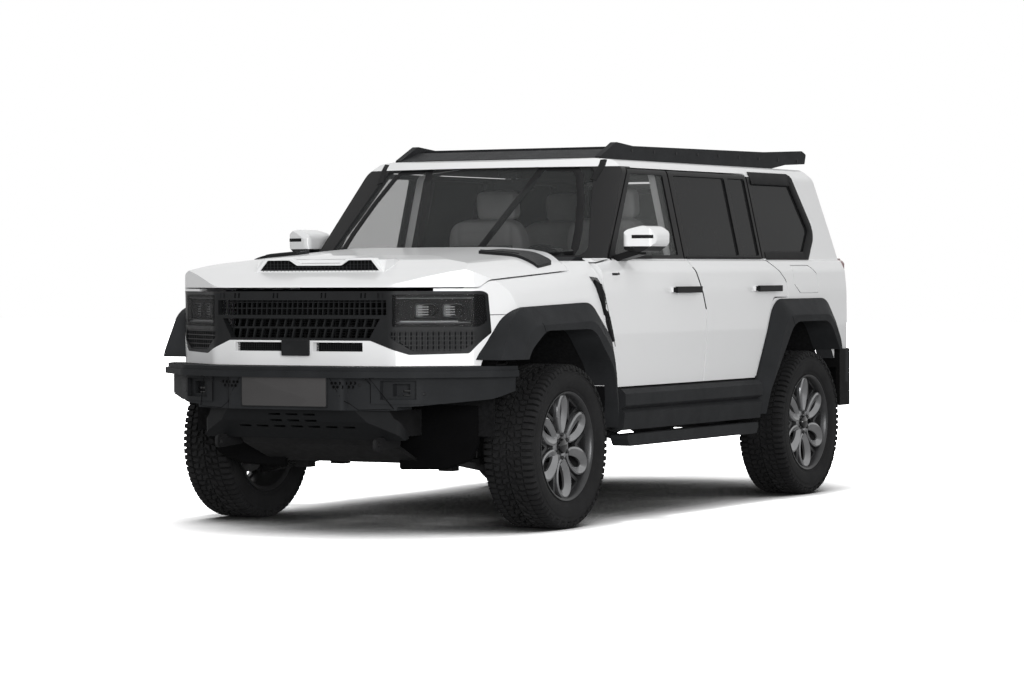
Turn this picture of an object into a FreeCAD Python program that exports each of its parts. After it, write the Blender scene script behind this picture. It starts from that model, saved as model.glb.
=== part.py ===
import FreeCAD, Part
import math
import os

# Lifted off-road 4x4 with a separate chassis, five side-hinged openings and a bonnet.
# X points forward, Y to the left and Z up. Outlines are drawn from the front axle at X zero
# and the ground at Z zero. Each finished piece is then placed by its length along the vehicle.

DOCUMENT = "off_road_vehicle"
doc = FreeCAD.newDocument(DOCUMENT)
sheet = doc.addObject("Spreadsheet::Sheet", "Sizes")

SIZES = [
    # Main layout
    ("wheelbase", 2920), ("track_width", 1800), ("nose_reach", 900), ("bumper_reach", 1045),
    ("tail_reach", 800), ("spare_reach", 1225), ("overrun", 50), ("shut_gap", 7), ("seat_gap", 0.3),
    # Tyres and rims
    ("tyre_radius", 413.5), ("tyre_width", 280), ("tread_width", 236), ("lug_depth", 14), ("lug_gap", 30), ("lug_length", 56), ("shoulder_radius", 372), ("bead_margin", 8),
    ("sidewall_radius", 330), ("bead_radius", 262), ("rim_radius", 274), ("rim_width", 245),
    ("rim_wall", 9), ("barrel_radius", 248), ("spoke_depth", 32), ("spoke_round", 40), ("web_setback", 12), ("spoke_inset", 26),
    ("hub_radius", 72), ("hub_cap_radius", 36), ("disc_radius", 182), ("disc_thickness", 26),
    # Main body section
    ("body_half_width", 990), ("sill_bottom", 470), ("sill_height", 640), ("waist_height", 950),
    ("shoulder_height", 1290), ("belt_height", 1352), ("belt_inset", 87),
    ("roof_edge_height", 1830), ("roof_edge_inset", 106), ("roof_side_height", 1884),
    ("roof_side_inset", 69), ("roof_height", 1930), ("roof_fall", 36),
    ("door_wall", 105), ("frame_wall", 46), ("roof_wall", 42), ("tail_wall", 90),
    # Windscreen
    ("screen_base_setback", 500), ("screen_base_height", 1360), ("screen_top_setback", 955),
    ("screen_top_height", 1870), ("screen_curve_radius", 3500), ("screen_thickness", 6),
    ("screen_inset", 9), ("screen_base_inset", 103), ("screen_top_inset", 157),
    # Bonnet and wings
    ("bonnet_height", 1430), ("bonnet_slope_share", 0.07), ("bonnet_skin", 26), ("wing_skin", 34),
    ("nose_skin", 55), ("bonnet_lip_height", 1208), ("clamshell_front_height", 1244),
    ("clamshell_rear_height", 1288), ("clamshell_front_reach", 570), ("bonnet_corner_setback", 213),
    ("bonnet_rear_setback", 362), ("bonnet_rear_half_width", 620), ("corner_reach", 617),
    ("corner_inset", 119), ("lamp_inner_reach", 867), ("lamp_inner_half_width", 520),
    ("fascia_top_height", 1070), ("fascia_bottom_height", 832), ("fascia_end_reach", 440),
    # Door shut lines
    ("door_bottom_height", 690), ("door_front_setback", 478), ("door_foot_setback", 606),
    ("door_kick_height", 900), ("b_frame_setback", 1560), ("b_waist_setback", 1655),
    ("b_waist_height", 1080), ("b_foot_setback", 1622), ("d_frame_setback", 2566), ("d_heel_setback", 2722), ("door_flare_gap", 5),
    ("frame_top_height", 1842), ("pillar_foot_setback", 690), ("pillar_top_setback", 1096),
    ("glass_margin", 36), ("glass_thickness", 5), ("glass_inset", 10), ("c_bar_inset", 281),
    ("c_bar_width", 46),
    # Arches, liners and flares
    ("arch_round", 170), ("arch_half_length", 600), ("arch_top_height", 1129), ("flare_reach", 62), ("flare_lean_share", 0.15), ("flare_centre_share", 0.45), ("flare_foot_height", 486), ("liner_skin", 8),
    ("liner_inner_half_width", 480), 
    # Front details
    ("grille_top_height", 1196), ("grille_foot_height", 886), ("grille_mid_height", 955),
    ("grille_frame_depth", 42), ("mesh_pitch", 30), ("mesh_bar", 5), ("mesh_depth", 12), ("slat_pitch", 46), ("slat_width", 9), ("slat_lean", 16), ("corner_pitch", 22),
    ("mesh_setback", 34), ("lamp_top_height", 1180), ("lamp_foot_height", 1022),
    ("lamp_depth", 60), ("lamp_bar", 6), ("projector_radius", 30), ("lens_thickness", 4), ("upper_grille_foot_height", 1080),
    ("slot_half_width", 372), ("slot_top_height", 946), ("slot_foot_height", 902),
    # Front bumper
    ("bumper_top_height", 830), ("bumper_lip_height", 778), ("bumper_foot_height", 620),
    ("bumper_overhang", 36), ("bumper_face_setback", 58),
    ("lip_step", 18), ("lip_step_height", 808), ("panel_stand", 7), ("panel_inner_half_width", 462), ("pocket_depth", 22), ("fog_depth", 60), ("plate_block_half_width", 330), ("bumper_end_reach", 500),
    # Underbody
    ("rail_half_spacing", 430), ("rail_width", 80), ("rail_height", 140),
    ("rail_level", 590), ("tow_plate", 16), ("tow_eye_radius", 14), ("tow_eye_reach", 902), ("tow_eye_height", 452), ("skid_half_width", 440),
    ("skid_thickness", 10), ("skid_foot_height", 296), ("floor_height", 640),
    ("floor_thickness", 24), ("firewall_setback", 470), ("firewall_thickness", 24),
    ("engine_length", 560), ("engine_width", 420), ("engine_height", 520), ("engine_level", 600),
    ("shaft_radius", 34), ("gearbox_radius", 130), ("gearbox_length", 620),
    ("tank_length", 560), ("tank_width", 310), ("tank_height", 190), ("tank_level", 400),
    ("exhaust_radius", 32), ("silencer_radius", 95), ("silencer_length", 480),
    # Suspension
    ("kingpin_half_spacing", 800), ("knuckle_radius", 60), 
    ("ball_joint_radius", 22), ("lower_ball_height", 262), ("lower_pivot_height", 330), ("upper_ball_height", 590),
    ("arm_width", 46), ("arm_height", 34), ("arm_base", 210), ("coil_radius", 52),
    ("coil_top_height", 900), ("axle_tube_radius", 46), ("diff_radius", 132),
    ("rear_spring_half_spacing", 520), ("rear_spring_radius", 62),
    # Cladding, steps and rack
    ("cladding_top_height", 678), ("cladding_foot_height", 466), ("cladding_reach", 40),
    ("flare_edge", 8), ("arch_lining", 13.5), ("lining_inner_inset", 110), ("step_top_height", 443), ("step_foot_height", 382), ("step_leg_radius", 20), ("step_overhang", 40), ("step_width", 100),
    ("rack_inset", 157), ("rack_front_setback", 1085), ("rack_rear_setback", 3740),
    ("rack_height", 30), ("rack_level", 1936), ("rack_wall", 34), ("rack_top_height", 2008), ("rack_hump_height", 1986), ("rack_bar_width", 46),
    ("rack_foot_width", 60),
    # Mirrors and handles
    ("mirror_overhang", 145), ("mirror_inner_inset", 25), ("mirror_front_setback", 690),
    ("mirror_rear_setback", 925), ("mirror_top_height", 1530), ("mirror_foot_height", 1385),
    ("handle_length", 300), ("handle_height", 34), ("handle_stand", 34), ("handle_level", 1172),
    # Tail
    ("flap_length", 330), ("flap_height", 162), ("flap_ahead", 95), ("flap_level", 1158), ("flap_groove", 4), ("tail_lean_height", 1330), ("tail_top_setback", 222), ("tail_corner_radius", 150), ("tail_corner_setback", 96), ("tail_flank_setback", 215),
    ("tailgate_inset", 190), ("tailgate_foot_height", 800), ("tailgate_top_height", 1835),
    ("tailgate_gap", 14), ("spare_radius", 375), ("spare_level", 1130),
    ("spare_round", 60), ("vent_stand", 16), ("hinge_radius", 14), ("hinge_length", 70), ("pin_radius", 7), ("post_depth", 46), ("tail_lamp_inset", 85), ("tail_lamp_depth", 40),
    ("tail_lamp_foot_height", 880), ("tail_lamp_top_height", 1360),
    ("rear_bumper_reach", 955), ("rear_bumper_foot_height", 492), ("rear_bumper_top_height", 792), ("rear_corner_top_height", 826), ("hinge_leaf_reach", 125), ("tail_lamp_gap", 37), ("rear_step_height", 742), ("rear_bumper_stand", 14), ("bumper_wall", 26),
    # Cabin
    ("seat_width", 520), ("seat_length", 520), ("seat_cushion_height", 170),
    ("seat_level", 820), ("seat_back_height", 620), ("seat_back_thickness", 130),
    ("head_rest_height", 190), ("seat_half_spacing", 380), ("seat_base_height", 150),
    ("front_seat_setback", 1120), ("rear_seat_setback", 1900), 
    ("bench_half_width", 640), ("dash_depth", 380), ("dash_top_height", 1300),
    ("dash_foot_height", 960), ("steering_wheel_radius", 190), ("steering_grip_radius", 15),
]

for row, (alias, value) in enumerate(SIZES, start=1):
    sheet.set("A%d" % row, alias)
    sheet.set("B%d" % row, str(value))
    sheet.setAlias("B%d" % row, alias)
doc.recompute()


# Widths and stations that keep their distance from another size
FOLLOWERS = {
    "belt_half_width": ("body_half_width", -1, "belt_inset"),
    "roof_edge_half_width": ("belt_half_width", -1, "roof_edge_inset"),
    "roof_side_half_width": ("roof_edge_half_width", -1, "roof_side_inset"),
    "screen_base_half_width": ("belt_half_width", -1, "screen_base_inset"),
    "screen_top_half_width": ("roof_edge_half_width", -1, "screen_top_inset"),
    "corner_half_width": ("body_half_width", -1, "corner_inset"),
    "bumper_half_width": ("body_half_width", 1, "bumper_overhang"),
    "step_half_width": ("body_half_width", 1, "step_overhang"),
    "mirror_half_reach": ("body_half_width", 1, "mirror_overhang"),
    "mirror_inner_half_reach": ("body_half_width", -1, "mirror_inner_inset"),
    "tailgate_half_width": ("body_half_width", -1, "tailgate_inset"),
    "tail_lamp_half_width": ("body_half_width", -1, "tail_lamp_inset"),
    "rack_half_width": ("roof_edge_half_width", -1, "rack_inset"),
    "c_bar_setback": ("d_frame_setback", -1, "c_bar_inset"),
}


class Read:
    """Sizes by name, as the sheet holds them or as they follow another size."""

    def __getattr__(self, alias):
        if alias in FOLLOWERS:
            leader, sign, distance = FOLLOWERS[alias]
            return getattr(self, leader) + sign * getattr(self, distance)
        return float(sheet.get(alias))


s = Read()
V = FreeCAD.Vector
front_axle_x = (s.wheelbase + s.spare_reach - s.bumper_reach) / 2
rear = -s.wheelbase
run = s.overrun
far = s.wheelbase * 2
nodes = []


# Outlines and solids

def set_in(plane, along, across, level):
    """One point of an outline that is drawn in a plane of the vehicle."""
    if plane == "XZ":
        return V(along, level, across)
    if plane == "YZ":
        return V(level, along, across)
    return V(along, across, level)


def wire(points, plane, level=0):
    """Closed outline. A third number on a point is the radius of that corner."""
    corners = [set_in(plane, point[0], point[1], level) for point in points]
    radii = [point[2] if len(point) > 2 else 0 for point in points]
    count = len(corners)
    stretches = []
    for index in range(count):
        corner = corners[index]
        before = corners[index - 1] - corner
        after = corners[(index + 1) % count] - corner
        radius = radii[index]
        if radius <= 0:
            stretches.append((corner, None, corner))
            continue
        half = before.getAngle(after) / 2
        reach = min(radius / math.tan(half), before.Length * 0.45, after.Length * 0.45)
        radius = reach * math.tan(half)
        before.normalize()
        after.normalize()
        bisector = before + after
        bisector.normalize()
        middle = corner + bisector * (radius / math.sin(half) - radius)
        stretches.append((corner + before * reach, middle, corner + after * reach))
    edges = []
    for index in range(count):
        start, middle, end = stretches[index]
        last_end = stretches[index - 1][2]
        if not last_end.isEqual(start, 1e-6):
            edges.append(Part.makeLine(last_end, start))
        if middle is not None:
            edges.append(Part.Arc(start, middle, end).toShape())
    return Part.Wire(Part.__sortEdges__(edges))


def prism(points, plane, low, high):
    """Solid of a closed outline, from one level of its plane to another."""
    face = Part.Face(wire(points, plane, low))
    return face.extrude(set_in(plane, 0, 0, high - low))


def block(x_low, x_high, y_low, y_high, z_low, z_high):
    """Square block between two corners."""
    return Part.makeBox(x_high - x_low, y_high - y_low, z_high - z_low, V(x_low, y_low, z_low))


def rod(start, end, radius):
    """Round bar between two points."""
    line = V(*end) - V(*start)
    return Part.makeCylinder(radius, line.Length, V(*start), line)


def beam(start, end, width, height):
    """Bar of rectangular section between two points, its width kept level."""
    start = V(*start)
    line = V(*end) - start
    length = line.Length
    line.normalize()
    side = V(0, 0, 1).cross(line)
    if side.Length < 0.01:
        side = V(0, 1, 0)
    side.normalize()
    upright = line.cross(side)
    upright.normalize()
    corner = start - side * (width / 2) - upright * (height / 2)
    ends = [corner, corner + side * width, corner + side * width + upright * height,
            corner + upright * height, corner]
    return Part.Face(Part.makePolygon(ends)).extrude(line * length)


def mirrored(shape):
    """The same piece on the other side of the vehicle."""
    return shape.mirror(V(0, 0, 0), V(0, 1, 0))


def joined(shapes):
    """One shape from pieces that touch."""
    shapes = list(shapes)
    whole = shapes[0]
    if len(shapes) > 1:
        whole = whole.multiFuse(shapes[1:])
    return whole.removeSplitter()


def grouped(shapes):
    """Pieces that stand apart, in one node."""
    solids = []
    for shape in shapes:
        solids.extend(shape.Solids)
    if len(solids) == 1:
        return solids[0]
    return Part.makeCompound(solids)


def largest(shape, count=1):
    """The largest solids of a cut, which leaves its slivers behind."""
    solids = sorted(shape.Solids, key=lambda solid: -solid.Volume)
    return grouped(solids[:count])


def both(shape):
    """A piece and its mirror image in one node."""
    return grouped([shape, mirrored(shape)])


def node(label, shape):
    """A finished piece, placed by its length along the vehicle."""
    feature = doc.addObject("Part::Feature", label)
    feature.Label = label
    own = shape.Placement
    feature.Shape = shape
    feature.Placement = FreeCAD.Placement(V(front_axle_x, 0, 0), FreeCAD.Rotation()).multiply(own)
    nodes.append(feature)
    return feature


def shares(table, length, height, origin=0, foot=0):
    """Points of an outline from shares of a length and a height."""
    return [(origin + a * length, foot + b * height) for a, b in table]


def round_all(points, radius):
    """An outline with every corner rounded alike."""
    return [tuple(point[:2]) + (radius,) for point in points]


# Body skins

def section(side, frame, roof):
    """Cross-section of the body, drawn in from the skin by its walls."""
    low = s.sill_bottom - (run if side else 0)
    lean = (s.belt_half_width - s.roof_edge_half_width) / (s.roof_edge_height - s.belt_height)
    half = [
        (s.body_half_width - side - 34, low),
        (s.body_half_width - side - 9, s.sill_height),
        (s.body_half_width - side, s.waist_height, 1500),
        (s.body_half_width - side - 4, s.shoulder_height - 110, 400),
        (s.body_half_width - side - 22, s.shoulder_height, 60),
        (s.belt_half_width - frame + 20, s.belt_height - 8, 20),
        (s.belt_half_width - frame, s.belt_height, 8),
        (s.roof_edge_half_width - frame, s.roof_edge_height, 60),
        (s.roof_side_half_width - frame, s.roof_side_height - roof, 90),
        (s.roof_side_half_width * 0.5, s.roof_height - roof - 12, 2500),
    ]
    other = [(-point[0],) + tuple(point[1:]) for point in reversed(half)]
    return half + other


def rear_profile(wall):
    """Rear end and roof line of the body in side view."""
    tail = rear - s.tail_reach + wall
    lean_top = tail + s.tail_top_setback
    return [
        (tail + 15, s.sill_bottom - 2 * run), (tail, s.waist_height, 900),
        (tail + 38, s.tail_lean_height, 500), (lean_top, s.roof_height - s.roof_fall - wall / 2, 50),
        (rear - 150, s.roof_height - 14, 2000), (rear + 600, s.roof_height + 2, 4000),
        (-s.screen_top_setback - 420, s.roof_height - 2, 1500),
        (-s.screen_top_setback, s.screen_top_height + 12), (run * 4, s.screen_top_height + 12),
        (run * 4, s.sill_bottom - 2 * run),
    ]


def screen_side(inset):
    """Everything behind the curved face of the windscreen."""
    slope = V(s.screen_base_setback - s.screen_top_setback, 0, s.screen_top_height - s.screen_base_height)
    slope.normalize()
    inward = V(-slope.z, 0, slope.x)
    base = V(-s.screen_base_setback, 0, s.screen_base_height)
    radius = s.screen_curve_radius - inset
    centre = base + inward * s.screen_curve_radius - slope * far / 2
    return Part.makeCylinder(radius, far, centre, slope)


def tail_plan(wall):
    """Plan outline of the rear end."""
    wide = s.body_half_width + run - wall
    tail = rear - s.tail_reach + wall
    radius = s.tail_corner_radius
    return [(0, -wide), (tail + s.tail_flank_setback, -wide, 200),
            (tail + s.tail_corner_setback, -s.tail_lamp_half_width + wall, radius),
            (tail, -s.tail_lamp_half_width * 0.5, 2500), (tail, s.tail_lamp_half_width * 0.5, 2500),
            (tail + s.tail_corner_setback, s.tail_lamp_half_width - wall, radius),
            (tail + s.tail_flank_setback, wide, 200), (0, wide)]


def main_solid(side, frame, roof, tail, screen):
    """Body behind the wings, closed, with its skin moved in by the walls."""
    start = -s.door_front_setback + s.shut_gap
    body = prism(section(side, frame, roof), "YZ", rear - s.tail_reach - run, start)
    body = body.common(prism(rear_profile(tail), "XZ", -s.body_half_width - run, s.body_half_width + run))
    if tail == 0:
        plan = prism(tail_plan(0), "XY", s.sill_bottom - 2 * run, s.roof_height + run)
        upper = Part.Face(wire(tail_plan(0), "XY", s.tail_lean_height))
        lean = V(s.tail_top_setback - 38, 0, s.roof_height - s.roof_fall - s.tail_lean_height)
        body = body.common(plan).common(
            joined([upper.extrude(lean * 1.3), prism(tail_plan(0), "XY", s.sill_bottom - 2 * run, s.tail_lean_height)]))
    cut_level = s.belt_height + 4
    low_part = body.common(block(-far, far, -far, far, 0, cut_level))
    high_part = body.common(block(-far, far, -far, far, cut_level, far)).common(screen_side(screen))
    return joined([low_part, high_part])


def front_half_section(side, top):
    """Cross-section of the bonnet and wings at the windscreen."""
    half = [
        (s.body_half_width - side - 9, s.sill_height - 3 * run),
        (s.body_half_width - side, s.waist_height, 1500),
        (s.body_half_width - side - 5, s.shoulder_height - 150, 300),
        (s.body_half_width - side - 36, s.shoulder_height - 20 - top * 0.6, 160),
        (s.belt_half_width - side * 0.8 - 20, s.bonnet_height - 80 - top, 200),
        (s.corner_half_width - 100, s.bonnet_height - 30 - top, 400),
        (s.corner_half_width * 0.5, s.bonnet_height - 5 - top, 3000),
    ]
    other = [(-point[0],) + tuple(point[1:]) for point in reversed(half)]
    return half + other


def nose_plan(wall):
    """Plan outline of the nose, with the lamps swept back."""
    half = [
        (s.nose_reach - wall, s.lamp_inner_half_width * 0.62, 900),
        (s.lamp_inner_reach - wall, s.lamp_inner_half_width, 120),
        (s.corner_reach - wall * 1.2, s.corner_half_width - wall * 0.3, 200),
        (s.corner_reach - 210, s.body_half_width - wall * 0.5, 420),
        (0, s.body_half_width + run, 0),
        (-s.wheelbase * 0.3, s.body_half_width + run, 0),
    ]
    other = [(point[0], -point[1], point[2]) for point in reversed(half)]
    return half + other


def bonnet_profile(wall, nose):
    """Bonnet line and nose in side view."""
    high = s.bonnet_height
    return [
        (-s.wheelbase * 0.3, s.sill_height - 4 * run), (-s.wheelbase * 0.3, high + run),
        (0, high - 22 - wall * 0.2, 3000), (s.corner_reach * 0.7, high - 78 - wall, 1500),
        (s.corner_reach + 90, high - 140 - wall, 900), (s.nose_reach - nose - 18, s.bonnet_lip_height + 12 - wall, 45),
        (s.nose_reach - nose, s.fascia_top_height, 1200), (s.nose_reach - nose, s.sill_height - 4 * run),
    ]


def front_solid(side, top, nose):
    """Wings, bonnet and nose as one closed form."""
    start = -s.door_front_setback + s.shut_gap + s.shut_gap
    fall = s.bonnet_slope_share
    reach = s.bumper_reach - start
    face = Part.Face(wire(front_half_section(side, top), "YZ", start))
    body = face.extrude(V(reach, 0, -reach * fall))
    body = body.common(prism(bonnet_profile(top, nose), "XZ", -far, far))
    body = body.common(prism(nose_plan(nose), "XY", s.sill_height - 5 * run, far))
    return body


# Openings

FLARE_SHARES = [(1.052, 0.768), (0.80, 0.985), (-0.50, 1.003), (-0.895, 0.83), (-0.978, 0.568)]
ARCH_SHARES = [(0.80, 0.70), (0.70, 0.80), (0.44, 0.883), (-0.40, 0.884), (-0.76, 0.70), (-0.85, 0.42)]
REAR_FLARE_SHARES = [(1.087, 0.572), (0.66, 1.0), (-0.52, 1.0), (-0.80, 0.85), (-0.86, 0.70)]
FLAP_SHARES = [(0, 0.3), (0, 1), (-0.8, 1), (-1, 0.7), (-1, 0), (-0.2, 0)]
REAR_CORNER_SHARE = 0.815
REAR_ARCH_SHARES = [(1.0, 0.40), (0.93, 0.56), (0.40, 0.884), (-0.42, 0.884), (-0.767, 0.655), (-0.79, 0.40)]


def arch_outline(table, axle, grow=0):
    """Outline of a wheel opening round its axle, closed below the sill."""
    length = s.arch_half_length + grow
    height = s.arch_top_height + grow
    points = shares(table, length, height, axle)
    foot = s.sill_bottom - 3 * run
    curved = [point + (s.arch_round,) for point in points]
    return [(points[0][0], foot)] + curved + [(points[-1][0], foot)]


def door_line_front():
    """Rear edge of the front door, from the roof rail down."""
    return [(-s.b_frame_setback, s.frame_top_height), (-s.b_frame_setback, s.shoulder_height + 20),
            (-s.b_waist_setback, s.b_waist_height), (-s.b_waist_setback - 4, s.waist_height - 60),
            (-s.b_foot_setback, s.door_bottom_height)]


def moved(points, along):
    """The same outline a little further along the vehicle."""
    return [(point[0] + along,) + tuple(point[1:]) for point in points]


def front_door_outline(gap):
    """Front door in side view, drawn in from its opening by the gap."""
    edge = moved(door_line_front(), gap)
    return [(-s.door_front_setback + s.shut_gap - gap, s.belt_height - 16 - gap),
            (-s.pillar_foot_setback + 30 - gap, s.belt_height + 2 - gap),
            (-s.pillar_top_setback - gap, s.frame_top_height - gap),
            (edge[0][0], edge[0][1] - gap), edge[1], edge[2], edge[3],
            (edge[4][0], edge[4][1] - s.shut_gap + gap),
            (-s.door_foot_setback + s.shut_gap - gap, s.door_bottom_height - s.shut_gap + gap),
            (-s.door_foot_setback + s.shut_gap + 20 - gap, s.door_kick_height),
            (-s.door_front_setback + s.shut_gap - gap, s.b_waist_height + 90)]


def rear_door_outline(gap):
    """Rear door in side view. Its rear edge runs down ahead of the flare."""
    edge = moved(door_line_front(), -gap)
    flare_foot, flare_top = shares(REAR_FLARE_SHARES[:2], s.arch_half_length, s.arch_top_height, rear)
    clear = s.door_flare_gap + gap
    heel = -s.d_heel_setback + gap
    slope = (flare_top[0] - flare_foot[0]) / (flare_top[1] - flare_foot[1])
    foot = s.door_bottom_height - s.shut_gap + gap
    return [(edge[0][0], edge[0][1] - gap), (-s.d_frame_setback + gap * 2, s.frame_top_height - gap),
            (-s.d_frame_setback + gap * 2, s.belt_height + 2), (heel, s.shoulder_height - 60, 60),
            (heel, flare_top[1] + clear), (flare_top[0] + clear * 0.6, flare_top[1] + clear, 60),
            (flare_foot[0] + clear + slope * (foot - flare_foot[1]), foot),
            (edge[4][0], foot), edge[3], edge[2], edge[1]]


def front_window(margin):
    """Glass outline of the front door."""
    top = s.roof_edge_height - 20 - margin
    return [(-s.pillar_foot_setback - 58 - margin, s.belt_height + 22 + margin, 12),
            (-s.pillar_top_setback - 24 - margin, top, 12),
            (-s.b_frame_setback + 66 + margin, top, 12),
            (-s.b_frame_setback + 66 + margin, s.belt_height + 22 + margin, 12)]


def rear_window(margin, start, end):
    """Glass outline between two stations of the rear door."""
    top = s.roof_edge_height - 20 - margin
    foot = s.belt_height + 22 + margin
    return [(-start - margin, foot, 12), (-start - margin, top, 12), (-end + margin, top, 12),
            (-end + margin, foot, 12)]


def quarter_window(margin):
    """Glass outline of the rear quarter."""
    top = s.roof_edge_height - 20 - margin
    foot = s.belt_height + 22 + margin
    return [(-s.d_frame_setback - 34 - margin, foot, 12), (-s.d_frame_setback - 34 - margin, top, 12),
            (rear - 218 + margin, top, 40), (rear - 372 + margin, s.belt_height + 165, 60),
            (rear - 222 + margin, foot, 50)]


def pane(outline_points):
    """Flat side glass in the lean of the side windows."""
    lean_top = s.roof_edge_height
    far_foot = s.belt_height
    slab = [(s.belt_half_width - s.glass_inset, far_foot),
            (s.roof_edge_half_width - s.glass_inset, lean_top),
            (s.roof_edge_half_width - s.glass_inset - s.glass_thickness, lean_top),
            (s.belt_half_width - s.glass_inset - s.glass_thickness, far_foot)]
    body = prism(slab, "YZ", rear - s.tail_reach, 0)
    return body.common(prism(outline_points, "XZ", 0, s.body_half_width))


def screen_outline(margin):
    """Windscreen in front view."""
    low = s.screen_base_height + 12 + margin
    top = s.screen_top_height - 26 - margin
    wide = s.screen_base_half_width - margin
    narrow = s.screen_top_half_width - margin
    return [(wide, low, 40), (narrow, top, 40), (-narrow, top, 40), (-wide, low, 40)]


def tailgate_outline(gap):
    """Tailgate in rear view."""
    wide = s.tailgate_half_width - gap
    narrow = s.roof_edge_half_width - 96 - gap * 1.9
    return [(-wide, s.tailgate_foot_height + gap, 20), (wide, s.tailgate_foot_height + gap, 20),
            (wide, s.shoulder_height, 60), (narrow, s.tailgate_top_height - gap, 40),
            (-narrow, s.tailgate_top_height - gap, 40), (-wide, s.shoulder_height, 60)]


def tail_window(margin):
    """Tailgate glass in rear view."""
    wide = s.tailgate_half_width - 110 - margin
    narrow = s.roof_edge_half_width - 170 - margin
    foot = s.belt_height + 60 + margin
    top = s.tailgate_top_height - 70 - margin
    return [(-wide, foot, 40), (wide, foot, 40), (narrow, top, 40), (-narrow, top, 40)]


# Body shell, doors and glass

skin = main_solid(0, 0, 0, 0, 0)
void = main_solid(s.door_wall, s.frame_wall, s.roof_wall, s.tail_wall, s.frame_wall)
shell = skin.cut(void)
left = block(-far, far, 0, far, 0, far)

arch_front_cut = prism(arch_outline(ARCH_SHARES, 0, 14), "XZ", 0, far)
arch_rear_cut = prism(arch_outline(REAR_ARCH_SHARES, rear, 14), "XZ", s.liner_inner_half_width, far)

front_door_opening = prism(front_door_outline(0), "XZ", s.rail_half_spacing, far)
rear_door_opening = prism(rear_door_outline(0), "XZ", s.rail_half_spacing, far)
front_door = shell.common(prism(front_door_outline(s.shut_gap), "XZ", s.rail_half_spacing, far))
rear_door = shell.common(prism(rear_door_outline(s.shut_gap), "XZ", s.rail_half_spacing, far))

front_door = front_door.cut(prism(front_window(0), "XZ", 0, far))
rear_pane_start = s.b_frame_setback + 60
rear_pane_end = s.c_bar_setback - s.c_bar_width / 2
rear_fixed_start = s.c_bar_setback + s.c_bar_width / 2
rear_fixed_end = s.d_frame_setback - 40
for start, end in ((rear_pane_start, rear_pane_end), (rear_fixed_start, rear_fixed_end)):
    rear_door = rear_door.cut(prism(rear_window(0, start, end), "XZ", 0, far))

tail_low = rear - s.tail_reach - run
tail_high = rear - s.tail_reach + s.tail_top_setback + s.tail_wall + 120
tailgate_opening = prism(tailgate_outline(0), "YZ", tail_low, tail_high)
tailgate = shell.common(prism(tailgate_outline(s.tailgate_gap), "YZ", tail_low, tail_high))
tailgate = largest(tailgate.cut(prism(tail_window(0), "YZ", tail_low, tail_high)))
tail_hinge_x = rear - s.tail_reach - s.hinge_radius - 1


def tail_hinge(moving):
    """Leaves of the tailgate hinges, the moving ones bored for the fixed pins."""
    leaves = []
    for level in (s.waist_height - 60, s.tail_lean_height - 60):
        low = (tail_hinge_x, -s.tailgate_half_width)
        if moving:
            ring = rod(low + (level,), low + (level + s.hinge_length,), s.hinge_radius)
            strap = block(tail_hinge_x - s.hinge_radius, tail_hinge_x + 8, -s.tailgate_half_width, -s.tailgate_half_width + 90,
                          level, level + s.hinge_length)
            strap = strap.fuse(block(tail_hinge_x, tail_hinge_x + s.hinge_leaf_reach, -s.tailgate_half_width + 30, -s.tailgate_half_width + 90,
                                     level, level + s.hinge_length))
            bore = rod(low + (level - 1,), low + (level + s.hinge_length + 1,), s.pin_radius + s.seat_gap)
            leaves.append(joined([ring, strap]).cut(bore))
        else:
            pin = rod(low + (level - 12,), low + (level + s.hinge_length + 12,), s.pin_radius)
            ears = [block(tail_hinge_x - s.pin_radius, tail_hinge_x + s.hinge_leaf_reach, -s.tailgate_half_width - 34, -s.tailgate_half_width + 4,
                          foot, foot + 11) for foot in (level - 12, level + s.hinge_length + 1)]
            leaves.append(joined([pin] + ears))
    return leaves


tailgate = largest(joined([tailgate] + tail_hinge(True)))

screen_slab = screen_side(s.screen_inset).cut(screen_side(s.screen_inset + s.screen_thickness))
screen_zone = prism(screen_outline(0), "YZ", -s.screen_top_setback - 400, 0)
windscreen = largest(screen_slab.common(prism(screen_outline(s.seat_gap), "YZ", -s.screen_top_setback - 400, 0)))

body = shell
for opening in (front_door_opening, rear_door_opening, arch_rear_cut,
                prism(quarter_window(0), "XZ", 0, far)):
    body = body.cut(opening).cut(mirrored(opening))
body = body.cut(tailgate_opening).cut(screen_zone)
body = body.cut(block(-far, rear - 560, -far, far, 0, s.floor_height - s.floor_thickness))
for side in (-1, 1):
    low_y, high_y = sorted((side * s.tailgate_half_width, side * far))
    body = body.cut(block(-far, rear - s.arch_half_length * 0.75, low_y, high_y, 0, s.rear_corner_top_height))
post_zone = block(-s.b_waist_setback + 20, -s.b_frame_setback + 55, -far, far, s.sill_bottom, far)
seat_slab = void.cut(main_solid(s.door_wall + s.seat_gap, s.frame_wall + s.seat_gap, s.roof_wall, s.tail_wall, s.frame_wall))
seat_slab = seat_slab.common(post_zone).common(joined([front_door_opening, rear_door_opening]))
post = void.common(post_zone).cut(seat_slab).cut(mirrored(seat_slab))
post = post.cut(main_solid(s.door_wall + s.post_depth, s.frame_wall + s.post_depth, s.roof_wall + 1, s.tail_wall, s.frame_wall))
post = post.cut(block(-far, far, -s.rail_half_spacing, s.rail_half_spacing, 0, s.roof_height))
flap_edge = prism(round_all(shares(FLAP_SHARES, s.flap_length, s.flap_height, rear + s.flap_ahead, s.flap_level), 24), "XZ", 0, far)
flap_inner = prism(round_all(shares(FLAP_SHARES, s.flap_length - 2 * s.flap_groove, s.flap_height - 2 * s.flap_groove,
                                    rear + s.flap_ahead - s.flap_groove, s.flap_level + s.flap_groove), 20), "XZ", 0, far)
flap_ring = flap_edge.cut(flap_inner).cut(skin.translated(V(0, -s.flap_groove * 1.6, 0)))
body = body.cut(flap_ring)
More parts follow.
